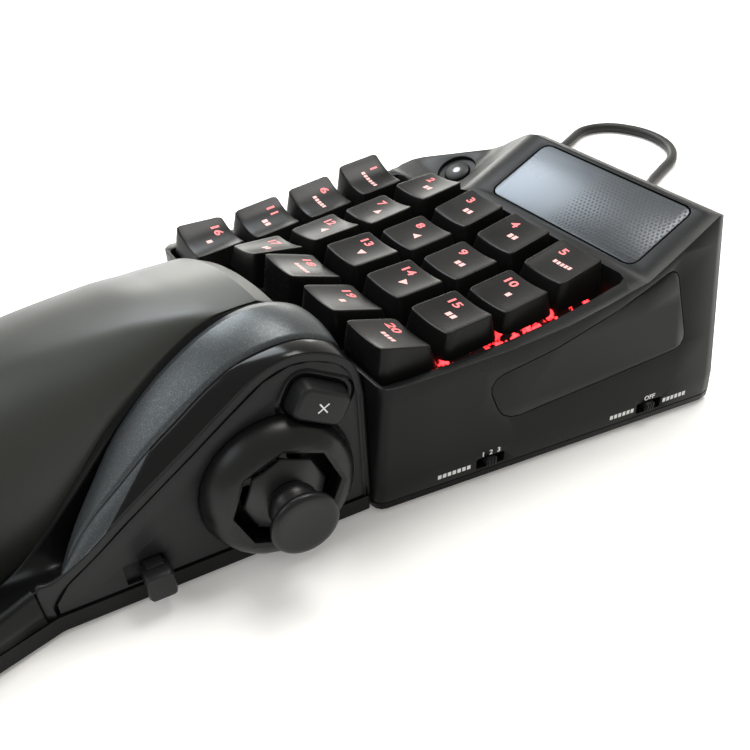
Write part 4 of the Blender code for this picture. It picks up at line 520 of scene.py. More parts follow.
def add_piece(name: str, shape: Shape, finish: Material, body: str,
              node: str = "", smooth: float = 40.0, wall: float = 0.0) -> None:
    """Args:
        name: the piece's name.
        shape: its mesh, which is freed.
        finish: its material.
        body: the body that it rides on.
        node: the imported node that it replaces, if it replaces one.
        smooth: the largest angle in degrees that shades smooth.
        wall: the wall behind an open piece's face.
    """
    piece = piece_of(name, shape, finish, smooth)
    if wall > 0.0:
        backing = piece.modifiers.new("wall", "SOLIDIFY")
        backing.thickness = wall
        backing.offset = -1.0
    if node:
        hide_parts(node)
    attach(piece, body)


def soften(piece: bpy.types.Object, width: float, segments: int) -> None:
    """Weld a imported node's loose triangles, round its sharp edges and shade the rest smooth.

    Args:
        piece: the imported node.
        width: the rounding's width in metres, or 0 for none.
        segments: facets across it.
    """
    piece.data.shade_smooth()
    weld = piece.modifiers.new("weld", "WELD")
    weld.merge_threshold = WELD_DISTANCE
    if width > 0.0:
        bevel = piece.modifiers.new("rounding", "BEVEL")
        bevel.width = width
        bevel.segments = segments
        bevel.limit_method = "ANGLE"
        bevel.angle_limit = math.radians(SHARP_DEGREES)
        bevel.use_clamp_overlap = True
    split = piece.modifiers.new("sharp_edges", "EDGE_SPLIT")
    split.split_angle = math.radians(SHARP_DEGREES)


def rounded_place(across: float, along: float, half_w: float, half_d: float,
                  corner: float) -> Pair:
    """Place of a square's point on a rectangle with round corners.

    Args:
        across: place in the square, from -1 to 1.
        along: place in the square, from -1 to 1.
        half_w: half the rectangle's width.
        half_d: half its depth.
        corner: radius of its corners.

    Returns:
        The point in the rectangle.
    """
    x, y = across * half_w, along * half_d
    inner_x = held(x, corner - half_w, half_w - corner)
    inner_y = held(y, corner - half_d, half_d - corner)
    off_x, off_y = x - inner_x, y - inner_y
    reach = math.hypot(off_x, off_y)
    if reach < TINY:
        return x, y
    scale = max(abs(off_x), abs(off_y)) / reach
    return inner_x + off_x * scale, inner_y + off_y * scale


def sample(rows: Sequence[Sequence[float]], share: float) -> list[float]:
    """Row of a table at a share of its length, on a smooth curve through the rows."""
    reach = share * (len(rows) - 1)
    i = min(int(reach), len(rows) - 2)
    t = reach - i
    r1, r2 = rows[i], rows[i + 1]
    r0 = rows[i - 1] if i > 0 else [2.0 * a - b for a, b in zip(r1, r2)]
    r3 = rows[i + 2] if i + 2 < len(rows) else [2.0 * b - a for a, b in zip(r1, r2)]
    return [between(*four, t) for four in zip(r0, r1, r2, r3)]


def surface(columns: int, rows: int, place: Callable[[float, float], Point]) -> Shape:
    """Open surface: a grid whose points are moved to their places.

    Args:
        columns: faces across.
        rows: faces along.
        place: point of the surface for two shares from 0 to 1.

    Returns:
        The surface's bmesh.
    """
    shape = bmesh.new()
    bmesh.ops.create_grid(shape, x_segments=columns, y_segments=rows, size=0.5)
    for vert in shape.verts:
        vert.co = place(held(vert.co.x + 0.5), held(vert.co.y + 0.5))
    return shape


def facing(shape: Shape, heart: Point) -> Shape:
    """Turn an open surface's faces away from a point."""
    bmesh.ops.recalc_face_normals(shape, faces=shape.faces)
    shape.normal_update()
    middle = Vector(heart)
    outward = sum((face.calc_center_median() - middle).dot(face.normal) * face.calc_area()
                  for face in shape.faces)
    if outward < 0.0:
        bmesh.ops.reverse_faces(shape, faces=shape.faces)
    return shape


def moved(shape: Shape, matrix: Matrix) -> Shape:
    """Move a whole mesh by a matrix."""
    bmesh.ops.transform(shape, matrix=matrix, verts=shape.verts)
    return shape


def lathe(profile: Sequence[Pair], steps: int) -> Shape:
    """Turn a profile of (radius, height) points about the Z axis."""
    shape = bmesh.new()
    verts = [shape.verts.new((radius, 0.0, height)) for radius, height in profile]
    edges = [shape.edges.new(pair) for pair in zip(verts, verts[1:])]
    bmesh.ops.spin(shape, geom=[*verts, *edges], cent=(0.0, 0.0, 0.0), axis=(0.0, 0.0, 1.0),
                   angle=math.tau, steps=steps)
    bmesh.ops.remove_doubles(shape, verts=shape.verts, dist=2.0 * MICRON)
    bmesh.ops.recalc_face_normals(shape, faces=shape.faces)
    return shape


def lettering(words: str, size: float, weight: float = 0.028) -> Shape:
    """Plain lettering as a flat mesh about its middle, its strokes widened by a share of its size."""
    curve = bpy.data.curves.new("lettering", "FONT")
    curve.body = words
    curve.size = size
    curve.align_x = "CENTER"
    curve.align_y = "CENTER"
    curve.resolution_u = 3
    curve.offset = weight * size
    holder = bpy.data.objects.new("lettering", curve)
    mesh = bpy.data.meshes.new_from_object(holder)
    shape = bmesh.new()
    shape.from_mesh(mesh)
    bpy.data.objects.remove(holder)
    bpy.data.curves.remove(curve)
    bpy.data.meshes.remove(mesh)
    return shape


def bar(shape: Shape, x: float, y: float, wide: float, high: float, turn: float = 0.0) -> None:
    """Add a flat bar with its middle at a place, turned in its plane by degrees."""
    verts = bmesh.ops.create_grid(shape, x_segments=2, y_segments=2, size=0.5)["verts"]
    spin = Matrix.Rotation(math.radians(turn), 4, "Z") @ Matrix.Translation((x, y, 0.0))
    for vert in verts:
        vert.co = spin @ Vector((vert.co.x * wide, vert.co.y * high, 0.0))


class Grid:
    """Key grid's frame: moves lengths and points between it and the row frame."""

    def __init__(self) -> None:
        """Find the grid's origin under the middle cap of the top row."""
        low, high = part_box("keycap_03")
        self.origin = Vector(((low.x + high.x) / 2.0, (low.y + high.y) / 2.0, 0.0))

    def at(self, x: float, y: float, z: float) -> Vector:
        """Point of the row frame."""
        return self.origin + Vector((x, y, z))

    def matrix(self) -> Matrix:
        """Matrix from the grid's frame to the row frame."""
        return Matrix.Translation(self.origin)

    def carry(self, shape: Shape) -> Shape:
        """Move a mesh made in the grid's frame to the row frame."""
        return moved(shape, self.matrix())


# Studio
@dataclass(frozen=True)
class Lamp:
    """One soft rectangular light that faces the key grid's origin."""

    name: str
    place: Point
    size: Pair
    power: float
    colour: Colour

    def hang(self, grid: Grid) -> None:
        """Hang the light at its place in the grid's frame."""
        light = bpy.data.lights.new(self.name, "AREA")
        light.shape = "RECTANGLE"
        light.size, light.size_y = self.size
        light.energy = self.power
        light.color = self.colour
        hung = bpy.data.objects.new(self.name, light)
        hung.location = grid.at(*self.place)
        hung.rotation_euler = (-Vector(self.place)).to_track_quat("-Z", "Y").to_euler()
        bpy.context.scene.collection.objects.link(hung)


@dataclass
class Studio:
    """Pale table, soft lights and the camera at the photograph's angle."""

    grid: Grid
    camera_place: Point = (160.5 * MM, -148.9 * MM, 154.3 * MM)
    camera_turn_degrees: tuple[float, float, float] = (49.73, 0.0, 54.37)
    lens: float = 38.29
    shift_up: float = 0.0413
    table_half: float = 1.6
    room_strength: float = 0.6
    horizon_strength: float = 1.3
    bright_side: Point = (-0.7, 0.5, -0.5)
    bright_reach: float = 0.9
    room_colour: Colour = (1.0, 0.975, 0.91)
    lamps: tuple[Lamp, ...] = (
        Lamp("window", (-0.74, 0.02, 0.86), (0.6, 0.6), 10.5, (0.91, 0.96, 1.0)),
        Lamp("ceiling", (-0.12, 0.42, 1.1), (0.46, 0.4), 8.0, (1.0, 0.985, 0.95)),
        Lamp("far_window", (-0.92, 0.42, 0.19), (0.7, 0.24), 2.6, (1.0, 1.0, 0.95)),
        Lamp("front_window", (-0.25, -0.9, 0.8), (0.7, 0.5), 3.0, (0.9, 0.95, 1.0)),
    )

    def build(self) -> None:
        """Make the table, the lights, the world and the camera."""
        self.lay_table()
        self.hang_lights()
        self.set_camera()

    def lay_table(self) -> None:
        """Lay the white table top."""
        shape = bmesh.new()
        bmesh.ops.create_grid(shape, x_segments=1, y_segments=1, size=self.table_half)
        white = Moulded("white_table", (0.95, 0.945, 0.935), 0.6, mottle=0.015, grain=1.2 * MM, specular=0.3,
                        glow=0.12).make()
        piece_of("table_top", shape, white)

    def hang_lights(self) -> None:
        """Set the room's daylight, brighter towards one side, and hang the lamps."""
        world = bpy.data.worlds.new("room")
        bpy.context.scene.world = world
        world.use_nodes = True
        nodes = world.node_tree.nodes
        background = nodes["Background"]
        background.inputs["Color"].default_value = (*self.room_colour, 1.0)
        links = world.node_tree.links
        side = nodes.new("ShaderNodeVectorMath")
        side.operation = "DOT_PRODUCT"
        side.inputs[1].default_value = self.bright_side
        fade = nodes.new("ShaderNodeMapRange")
        fade.interpolation_type = "SMOOTHSTEP"
        for name, value in (("From Min", 0.0), ("From Max", self.bright_reach),
                            ("To Min", self.room_strength), ("To Max", self.horizon_strength)):
            fade.inputs[name].default_value = value
        links.new(nodes.new("ShaderNodeTexCoord").outputs["Generated"], side.inputs[0])
        links.new(side.outputs["Value"], fade.inputs["Value"])
        links.new(fade.outputs[0], background.inputs["Strength"])
        for lamp in self.lamps:
            lamp.hang(self.grid)
        bpy.context.scene.view_settings.view_transform = "Standard"

    def set_camera(self) -> None:
        """Set the camera where the photograph was taken from."""
        lens = bpy.data.cameras.new("camera")
        lens.lens = self.lens
        lens.sensor_width = 36.0
        lens.shift_y = self.shift_up
        lens.clip_start = 0.01
        camera = bpy.data.objects.new("camera", lens)
        camera.location = self.grid.at(*self.camera_place)
        camera.rotation_euler = Euler(math.radians(a) for a in self.camera_turn_degrees)
        bpy.context.scene.collection.objects.link(camera)
        bpy.context.scene.camera = camera


# Cable
@dataclass
class Cable:
    """Free cable: out of the case's back, round a loop on the table, into a coil and to its plug.

    The route's points are in millimetres in the grid's frame.
    """

    grid: Grid
    finishes: Finishes
    diameter: float = 4.5 * MM
    exit: Point = (14.0 * MM, 44.0 * MM, 14.0 * MM)
    relief_length: float = 14.0 * MM
    coil_centre: Pair = (-46.0 * MM, 88.0 * MM)
    coil_radius: float = 33.6 * MM
    coil_pitch: float = 5.0 * MM
    layer_turns: int = 4
    turn_steps: int = 24
    tail_length: float = 24.0 * MM
    plug_thickness: float = 7.6 * MM
    gap: float = 0.3 * MM
    per_span: int = 5
    route: tuple[Point, ...] = (
        (13.4, 70.0, 9.6), (11.0, 84.0, 4.6), (5.0, 99.0, 2.3), (-7.0, 114.0, 2.25), (-23.0, 126.0, 2.25),
        (-36.0, 139.0, 2.25), (-43.5, 156.0, 2.25), (-50.0, 172.0, 2.25), (-61.0, 182.5, 2.25),
        (-77.0, 185.5, 2.25), (-92.0, 178.0, 2.25), (-97.0, 163.0, 2.25), (-91.0, 146.0, 2.25),
        (-84.0, 128.0, 2.25), (-80.4, 110.0, 2.25),
    )

    def coil_point(self, turn: float) -> Vector:
        """Centre of the cable after some turns: in through the lower layer, out through the upper."""
        half = float(self.layer_turns)
        middle = abs(turn - half)
        radius = self.coil_radius - self.coil_pitch * (half - middle)
        height = self.diameter / 2.0 + self.coil_pitch * eased((turn - half) / 0.5 + 0.5)
        angle = math.pi + math.tau * turn
        x, y = self.coil_centre
        return Vector((x + radius * math.cos(angle), y + radius * math.sin(angle), height))

    def coil_line(self) -> list[Vector]:
        """Centre line of the coil with a straight diameter at both ends."""
        total = 2 * self.layer_turns
        count = total * self.turn_steps
        line = [self.coil_point(total * i / count) for i in range(count + 1)]
        first = (line[0] - line[1]).normalized() * self.diameter
        last = (line[-1] - line[-2]).normalized() * self.diameter
        return [line[0] + first, *line, line[-1] + last]

    def centre_line(self) -> list[Vector]:
        """Whole centre line from the strain relief to the plug, in the grid's frame."""
        coil = self.coil_line()
        out = Vector((0.0, 1.0, 0.0))
        start = Vector(self.exit) + out * (self.relief_length + self.gap)
        entry = (coil[1] - coil[0]).normalized()
        end = coil[0] - entry * self.gap
        route = [Vector([value * MM for value in point]) for point in self.route]
        knots = [start, start + out * self.diameter, *route, end - entry * self.diameter, end]
        ahead = smooth_line(knots, self.per_span)
        way = (coil[-1] - coil[-2]).normalized()
        level = Vector((way.x, way.y, 0.0)).normalized()
        tail_start = coil[-1] + way * self.gap
        tail_end = tail_start + level * self.tail_length
        tail_end.z = self.plug_thickness / 2.0 + self.gap
        knots = [tail_start, tail_start + way * self.diameter, tail_end - level * self.diameter, tail_end]
        tail = smooth_line(knots, self.per_span)
        line = ahead[:-1] + coil + tail[1:]
        return [Vector((point.x, point.y, max(point.z, self.diameter / 2.0))) for point in line]

    def build(self) -> None:
        """Lay the cable, give it its finish and hide the imported cable nodes."""
        line = [self.grid.at(*point) for point in self.centre_line()]
        curve = bpy.data.curves.new("usb_cable", "CURVE")
        curve.dimensions = "3D"
        spline = curve.splines.new("POLY")
        spline.points.add(len(line) - 1)
        for place, point in zip(spline.points, line):
            place.co = (*point, 1.0)
        curve.bevel_depth = self.diameter / 2.0
        curve.bevel_resolution = 4
        curve.use_fill_caps = True
        curve.materials.append(self.finishes.cable)
        cable = bpy.data.objects.new("usb_cable", curve)
        bpy.context.scene.collection.objects.link(cable)
        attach(cable, "key_unit")
        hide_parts("cable", "cable_coil", "cable_tail")
        length = sum((b - a).length for a, b in zip(line, line[1:]))
        tuple(line[0])
        LOG.info("cable of %.0f mm laid", length / MM)


# Key field
class Mark(Enum):
    """Plain signs under a key's number: dashes, or an arrow with its turn in degrees."""

    DASHES = None
    UP = 0.0
    DOWN = -180.0
    LEFT = 90.0
    RIGHT = -90.0


@dataclass(frozen=True)
class KeyLook:
    """Form of one cap: heights of its top's corners, its dish and how far its column is let down."""

    tops: tuple[float, float, float, float]
    dish: float
    drop: float


@dataclass
class KeyField:
    """Twenty dished caps with lit numbers and plain signs.

    The tables of tops are in millimetres: front left, front right, back left and back right of each cap.
    """

    grid: Grid
    finishes: Finishes
    pitch: float = 19.05 * MM
    stagger: float = 8.6 * MM
    columns: int = 5
    drops: tuple[float, ...] = (3.0 * MM, 1.5 * MM, 0.0, 0.0, 0.0)
    base: float = 17.8 * MM
    top_width: float = 14.5 * MM
    top_depth: float = 14.9 * MM
    skirt_z: float = 38.9 * MM
    edge: float = 0.5 * MM
    corner: float = 1.2 * MM
    least_corner: float = 0.3 * MM
    roll_steps: int = 4
    roll_sink: float = 0.8
    side_shares: tuple[float, ...] = (0.12, 0.5, 0.93, 1.0)
    foot_inset: float = 0.35 * MM
    wall: float = 1.3 * MM
    hollow_inset: float = 0.6 * MM
    hollow_share: float = 0.45
    stem_room: float = 1.6 * MM
    stem_radius: float = 2.7 * MM
    stem_low: float = 35.2 * MM
    dish: float = 0.7 * MM
    outer_dish: float = 1.6 * MM
    number_size: float = 4.0 * MM
    number_stretch: Pair = (1.12, 0.9)
    number_place: Pair = (-2.9 * MM, 3.4 * MM)
    sign_place: Pair = (0.8 * MM, -0.8 * MM)
    sign_lift: float = 0.04 * MM
    longest_edge: float = 0.9 * MM
    arrow_radius: float = 1.6 * MM
    few: int = 2
    few_dashes: tuple[float, float, float] = (1.3 * MM, 1.75 * MM, 0.45 * MM)
    many_dashes: tuple[float, float, float] = (0.95 * MM, 1.25 * MM, 0.35 * MM)
    finger_tops: tuple[tuple[float, ...], ...] = ((46.0, 46.0, 48.3, 48.3), (44.6, 44.6, 45.3, 45.3),
                                                  (46.1, 46.1, 45.8, 45.8), (49.8, 49.8, 44.5, 44.5))
    ring_tops: tuple[tuple[float, ...], ...] = ((46.3, 47.0, 46.7, 48.6), (43.3, 44.8, 44.4, 46.0),
                                                (42.6, 45.5, 43.5, 45.9), (43.4, 47.6, 42.2, 44.9))
    outer_tops: tuple[tuple[float, ...], ...] = ((47.6, 43.6, 48.6, 44.4), (44.8, 41.4, 46.0, 42.6),
                                                 (43.2, 40.6, 44.4, 41.6), (44.0, 40.2, 43.0, 41.0))
    signs: tuple[tuple[Mark, int], ...] = (
        (Mark.DASHES, 6), (Mark.DASHES, 2), (Mark.DASHES, 2), (Mark.DASHES, 2), (Mark.DASHES, 5),
        (Mark.DASHES, 5), (Mark.UP, 0), (Mark.LEFT, 0), (Mark.DASHES, 2), (Mark.DASHES, 1),
        (Mark.DASHES, 2), (Mark.LEFT, 0), (Mark.DOWN, 0), (Mark.RIGHT, 0), (Mark.DASHES, 2),
        (Mark.DASHES, 1), (Mark.DASHES, 2), (Mark.DASHES, 5), (Mark.DASHES, 1), (Mark.DASHES, 4),
    )

    def look(self, number: int) -> KeyLook:
        """Top corners in metres, dish and drop of one key."""
        row, column = divmod(number - 1, self.columns)
        table = (self.outer_tops, self.ring_tops)[column] if column < 2 else self.finger_tops
        dish = self.outer_dish if column == 0 else self.dish
        return KeyLook(tuple(top * MM for top in table[row]), dish, self.drops[column])

    def middle(self, number: int) -> Vector:
        """Middle of one key in the grid's frame."""
        row, column = divmod(number - 1, self.columns)
        x = (column - (self.columns - 1) / 2.0) * self.pitch
        return Vector((x, -row * self.pitch - (self.stagger if column == 0 else 0.0), 0.0))

    def top_height(self, look: KeyLook, x: float, y: float) -> float:
        """Height of a cap's dished top at a place from its middle."""
        across = held(x / (self.top_width / 2.0), -1.0)
        along = held(y / (self.top_depth / 2.0), -1.0)
        front_left, front_right, back_left, back_right = look.tops
        front = front_left + (front_right - front_left) * (across + 1.0) / 2.0
        back = back_left + (back_right - back_left) * (across + 1.0) / 2.0
        return front + (back - front) * (along + 1.0) / 2.0 - look.dish * (1.0 - across**2)

    def cap(self, number: int) -> None:
        """Model one cap: dished top, rolled edge, tapered sides, hollow and stem."""
        look = self.look(number)
        shape = bmesh.new()
        bmesh.ops.create_grid(shape, x_segments=16, y_segments=10, size=1.0)
        home = shape.verts.layers.float_vector.new("home")
        for vert in shape.verts:
            vert[home] = (vert.co.x, vert.co.y, 0.0)
        half_w, half_d = self.top_width / 2.0, self.top_depth / 2.0
        skirt = self.skirt_z - look.drop
        stem_low = self.stem_low - look.drop

        def settle(verts: Sequence[bmesh.types.BMVert], inset: float, sink: float, way: float) -> None:
            """Move verts to one level of the cap.

            Args:
                verts: the level's verts.
                inset: how far inside the top's edge it lies.
                sink: how far under the top.
                way: share of the way down to the skirt.
            """
            flare_w, flare_d = way * (self.base / 2.0 - half_w), way * (self.base / 2.0 - half_d)
            for vert in verts:
                across, along, _ = vert[home]
                x, y = rounded_place(across, along, half_w - inset + flare_w, half_d - inset + flare_d,
                                     max(self.corner - inset + flare_w, self.least_corner))
                top = self.top_height(look, x, y) - sink
                vert.co = (x, y, top + (skirt - top) * way)

        settle(shape.verts, self.edge, 0.0, 0.0)
        rim = [edge for edge in shape.edges if edge.is_boundary]
        sink = self.edge * self.roll_sink
        angles = [math.pi / 2.0 * k / self.roll_steps for k in range(1, self.roll_steps + 1)]
        levels = [(self.edge * (1.0 - math.sin(a)), sink * (1.0 - math.cos(a)), 0.0) for a in angles]
        levels += [(0.0, sink, way) for way in self.side_shares]
        levels += [(self.foot_inset, self.edge, 1.0), (self.wall, self.edge, 1.0),
                   (self.wall + self.hollow_inset, self.edge, self.hollow_share)]
        for level in levels:
            made = bmesh.ops.extrude_edge_only(shape, edges=rim)["geom"]
            settle([g for g in made if isinstance(g, bmesh.types.BMVert)], *level)
            rim = [g for g in made if isinstance(g, bmesh.types.BMEdge) and g.is_boundary]
        bmesh.ops.edgeloop_fill(shape, edges=rim)
        reach = self.top_height(look, 0.0, 0.0) - self.stem_room - stem_low
        stem = bmesh.ops.create_cone(shape, cap_ends=True, segments=20, radius1=self.stem_radius,
                                     radius2=self.stem_radius, depth=reach)["verts"]
        bmesh.ops.translate(shape, verts=stem, vec=(0.0, 0.0, stem_low + reach / 2.0))
        bmesh.ops.recalc_face_normals(shape, faces=shape.faces)
        bmesh.ops.translate(shape, verts=shape.verts, vec=self.middle(number))
        add_piece(f"cap_{number:02d}", self.grid.carry(shape), self.finishes.key, f"key_{number:02d}",
                  f"keycap_{number:02d}", smooth=30.0)

    def sign(self, mark: Mark, count: int) -> Shape:
        """Plain sign under a number: so many dashes or an arrow."""
        shape = bmesh.new()
        if mark is Mark.DASHES:
            wide, high, gap = self.few_dashes if count <= self.few else self.many_dashes
            for k in range(count):
                bar(shape, (k - (count - 1) / 2.0) * (wide + gap), 0.0, wide, high)
            return shape
        bmesh.ops.create_circle(shape, cap_ends=True, segments=3, radius=self.arrow_radius)
        return moved(shape, Matrix.Rotation(math.radians(mark.value), 4, "Z"))

    def lay(self, shape: Shape, number: int, name: str, finish: Material) -> None:
        """Lay a flat shape on one cap's dished top."""
        look = self.look(number)
        bmesh.ops.triangulate(shape, faces=shape.faces)
        long_edges = [edge for edge in shape.edges if edge.calc_length() > self.longest_edge]
        bmesh.ops.subdivide_edges(shape, edges=long_edges, cuts=1)
        for vert in shape.verts:
            vert.co.z = self.top_height(look, vert.co.x, vert.co.y) + self.sign_lift
        facing(shape, (0.0, 0.0, 0.0))
        bmesh.ops.translate(shape, verts=shape.verts, vec=self.middle(number))
        add_piece(f"{name}_{number:02d}", self.grid.carry(shape), finish, f"key_{number:02d}")

    def legend(self, number: int) -> None:
        """Lit number and sign on one cap."""
        digits = lettering(str(number), self.number_size)
        for vert in digits.verts:
            x, y = (value * stretch for value, stretch in zip(vert.co, self.number_stretch))
            vert.co = (x + self.number_place[0], y + self.number_place[1], 0.0)
        self.lay(digits, number, "legend", self.finishes.legend)
        sign = self.sign(*self.signs[number - 1])
        bmesh.ops.translate(sign, verts=sign.verts, vec=(*self.sign_place, 0.0))
        self.lay(sign, number, "sign", self.finishes.mark)

    def build(self) -> None:
        """Model every cap with its legend."""
        for number in range(1, len(self.signs) + 1):
            self.cap(number)
            self.legend(number)
        LOG.info("%d caps made", len(self.signs))


# Palm rest
@dataclass
class PalmRest:
    """Arched soft-touch rest with a chamfered rear edge.

    Each section has its place along the rest, the heights of the crest and of the right edge as shares of
    the crest's height, and the crest's shift to the left as a share. On the way round from the right foot to
    the left one, side_end is the share at which the right side ends, and crest_at is the crest's.
    """

    grid: Grid
    finishes: Finishes
    back_y: float = -77.4 * MM
    front_y: float = -200.0 * MM
    left_x: float = -65.6 * MM
    right_x: float = 21.4 * MM
    crest_z: float = 57.4 * MM
    foot_z: float = 6.3 * MM
    arch: float = 1.7
    flank: float = 0.6
    round_start: float = 0.55
    thickness: float = 2.2 * MM
    chamfer: float = 4.6 * MM
    chamfer_drop: float = 2.4 * MM
    shift_share: float = 0.72
    crest_margin: float = 0.05
    least_side: float = 0.4 * MM
    side_end: float = 0.08
    crest_at: float = 0.34
    columns: int = 72
    rows: int = 94
    edge_rows: int = 4
    sections: tuple[tuple[float, ...], ...] = (
        (0.0, 0.985, 0.98, 0.0), (0.08, 0.995, 0.99, 0.0), (0.15, 1.0, 0.975, 0.06), (0.22, 0.985, 0.9, 0.13),
        (0.29, 0.95, 0.79, 0.2), (0.36, 0.91, 0.67, 0.27), (0.44, 0.86, 0.48, 0.34), (0.52, 0.8, 0.3, 0.4),
        (0.6, 0.73, 0.17, 0.45), (0.68, 0.655, 0.115, 0.48), (0.76, 0.565, 0.11, 0.51),
        (0.84, 0.455, 0.11, 0.54), (0.91, 0.35, 0.11, 0.56), (0.965, 0.21, 0.11, 0.57),
        (0.99, 0.115, 0.11, 0.57),
    )

    def place(self, around: float, along: float) -> Vector:
        """Point of the rest's surface.

        Args:
            around: share of the way from the right foot over the arch to the left foot.
            along: share of the way from the rear to the front.

        Returns:
            The point in the grid's frame.
        """
        share, crest, right, shift = sample(self.sections, along)
        y = self.back_y + (self.front_y - self.back_y) * share
        crest_x = self.right_x - (self.right_x - self.left_x) * max(shift, 0.0) * self.shift_share
        left_x, right_x = self.left_x, self.right_x
        if share > self.round_start:
            narrow = math.sqrt(max(1.0 - ((share - self.round_start) / (1.0 - self.round_start)) ** 2, 0.0))
            left_x = crest_x + (left_x - crest_x) * narrow
            right_x = crest_x + (right_x - crest_x) * narrow
        crest_x = min(crest_x, right_x - self.crest_margin * (right_x - left_x))
        drop = self.chamfer_drop * max(0.0, 1.0 - (self.back_y - y) / self.chamfer)
        crest_z = self.crest_z * crest - drop
        right_z = held(self.crest_z * right - drop, self.foot_z + self.least_side, crest_z)
        if around < self.side_end:
            return Vector((right_x, y, self.foot_z + (right_z - self.foot_z) * around / self.side_end))
        if around < self.crest_at:
            v = 1.0 - (around - self.side_end) / (self.crest_at - self.side_end)
            v = math.sin(v * math.pi / 2.0)
            rise = (1.0 - v * v) ** self.flank
            return Vector((crest_x + (right_x - crest_x) * v, y, right_z + (crest_z - right_z) * rise))
        a = math.pi / 2.0 * (around - self.crest_at) / (1.0 - self.crest_at)
        height = self.foot_z + (crest_z - self.foot_z) * max(math.cos(a), 0.0) ** self.arch
        return Vector((crest_x + (left_x - crest_x) * math.sin(a), y, height))

    def index_at(self, y: float, halvings: int = 30) -> float:
        """Share of the section table at which the rest reaches a place along its length."""
        low, high = 0.0, 1.0
        for _ in range(halvings):
            half = (low + high) / 2.0
            low, high = (half, high) if self.place(0.0, half).y > y else (low, half)
        return low

    def build(self) -> None:
        """Model the rest as a thin shell, closed at its rear, on the tray."""
        start = self.index_at(self.back_y - self.chamfer)
        edge = self.edge_rows / self.rows

        def place(around: float, along: float) -> Vector:
            """Point of the rest, its first rows kept for the chamfer."""
            if along <= edge:
                return self.place(around, start * along / edge)
            return self.place(around, start + (1.0 - start) * (along - edge) / (1.0 - edge))

        shape = surface(self.columns, self.rows, place)
        rear = [e for e in shape.edges if all(abs(v.co.y - self.back_y) < MICRON for v in e.verts)]
        made = bmesh.ops.extrude_edge_only(shape, edges=rear)["geom"]
        for vert in (g for g in made if isinstance(g, bmesh.types.BMVert)):
            vert.co.z = self.foot_z
        bmesh.ops.remove_doubles(shape, verts=shape.verts, dist=MERGE_DISTANCE)
        bmesh.ops.dissolve_degenerate(shape, edges=shape.edges, dist=MERGE_DISTANCE)
        facing(shape, ((self.left_x + self.right_x) / 2.0, (self.back_y + self.front_y) / 2.0, 0.0))
        add_piece("palm_rest", self.grid.carry(shape), self.finishes.palm, "palm_unit",
                  "palm_rest_pad", smooth=19.0, wall=self.thickness)
        LOG.info("palm rest made")


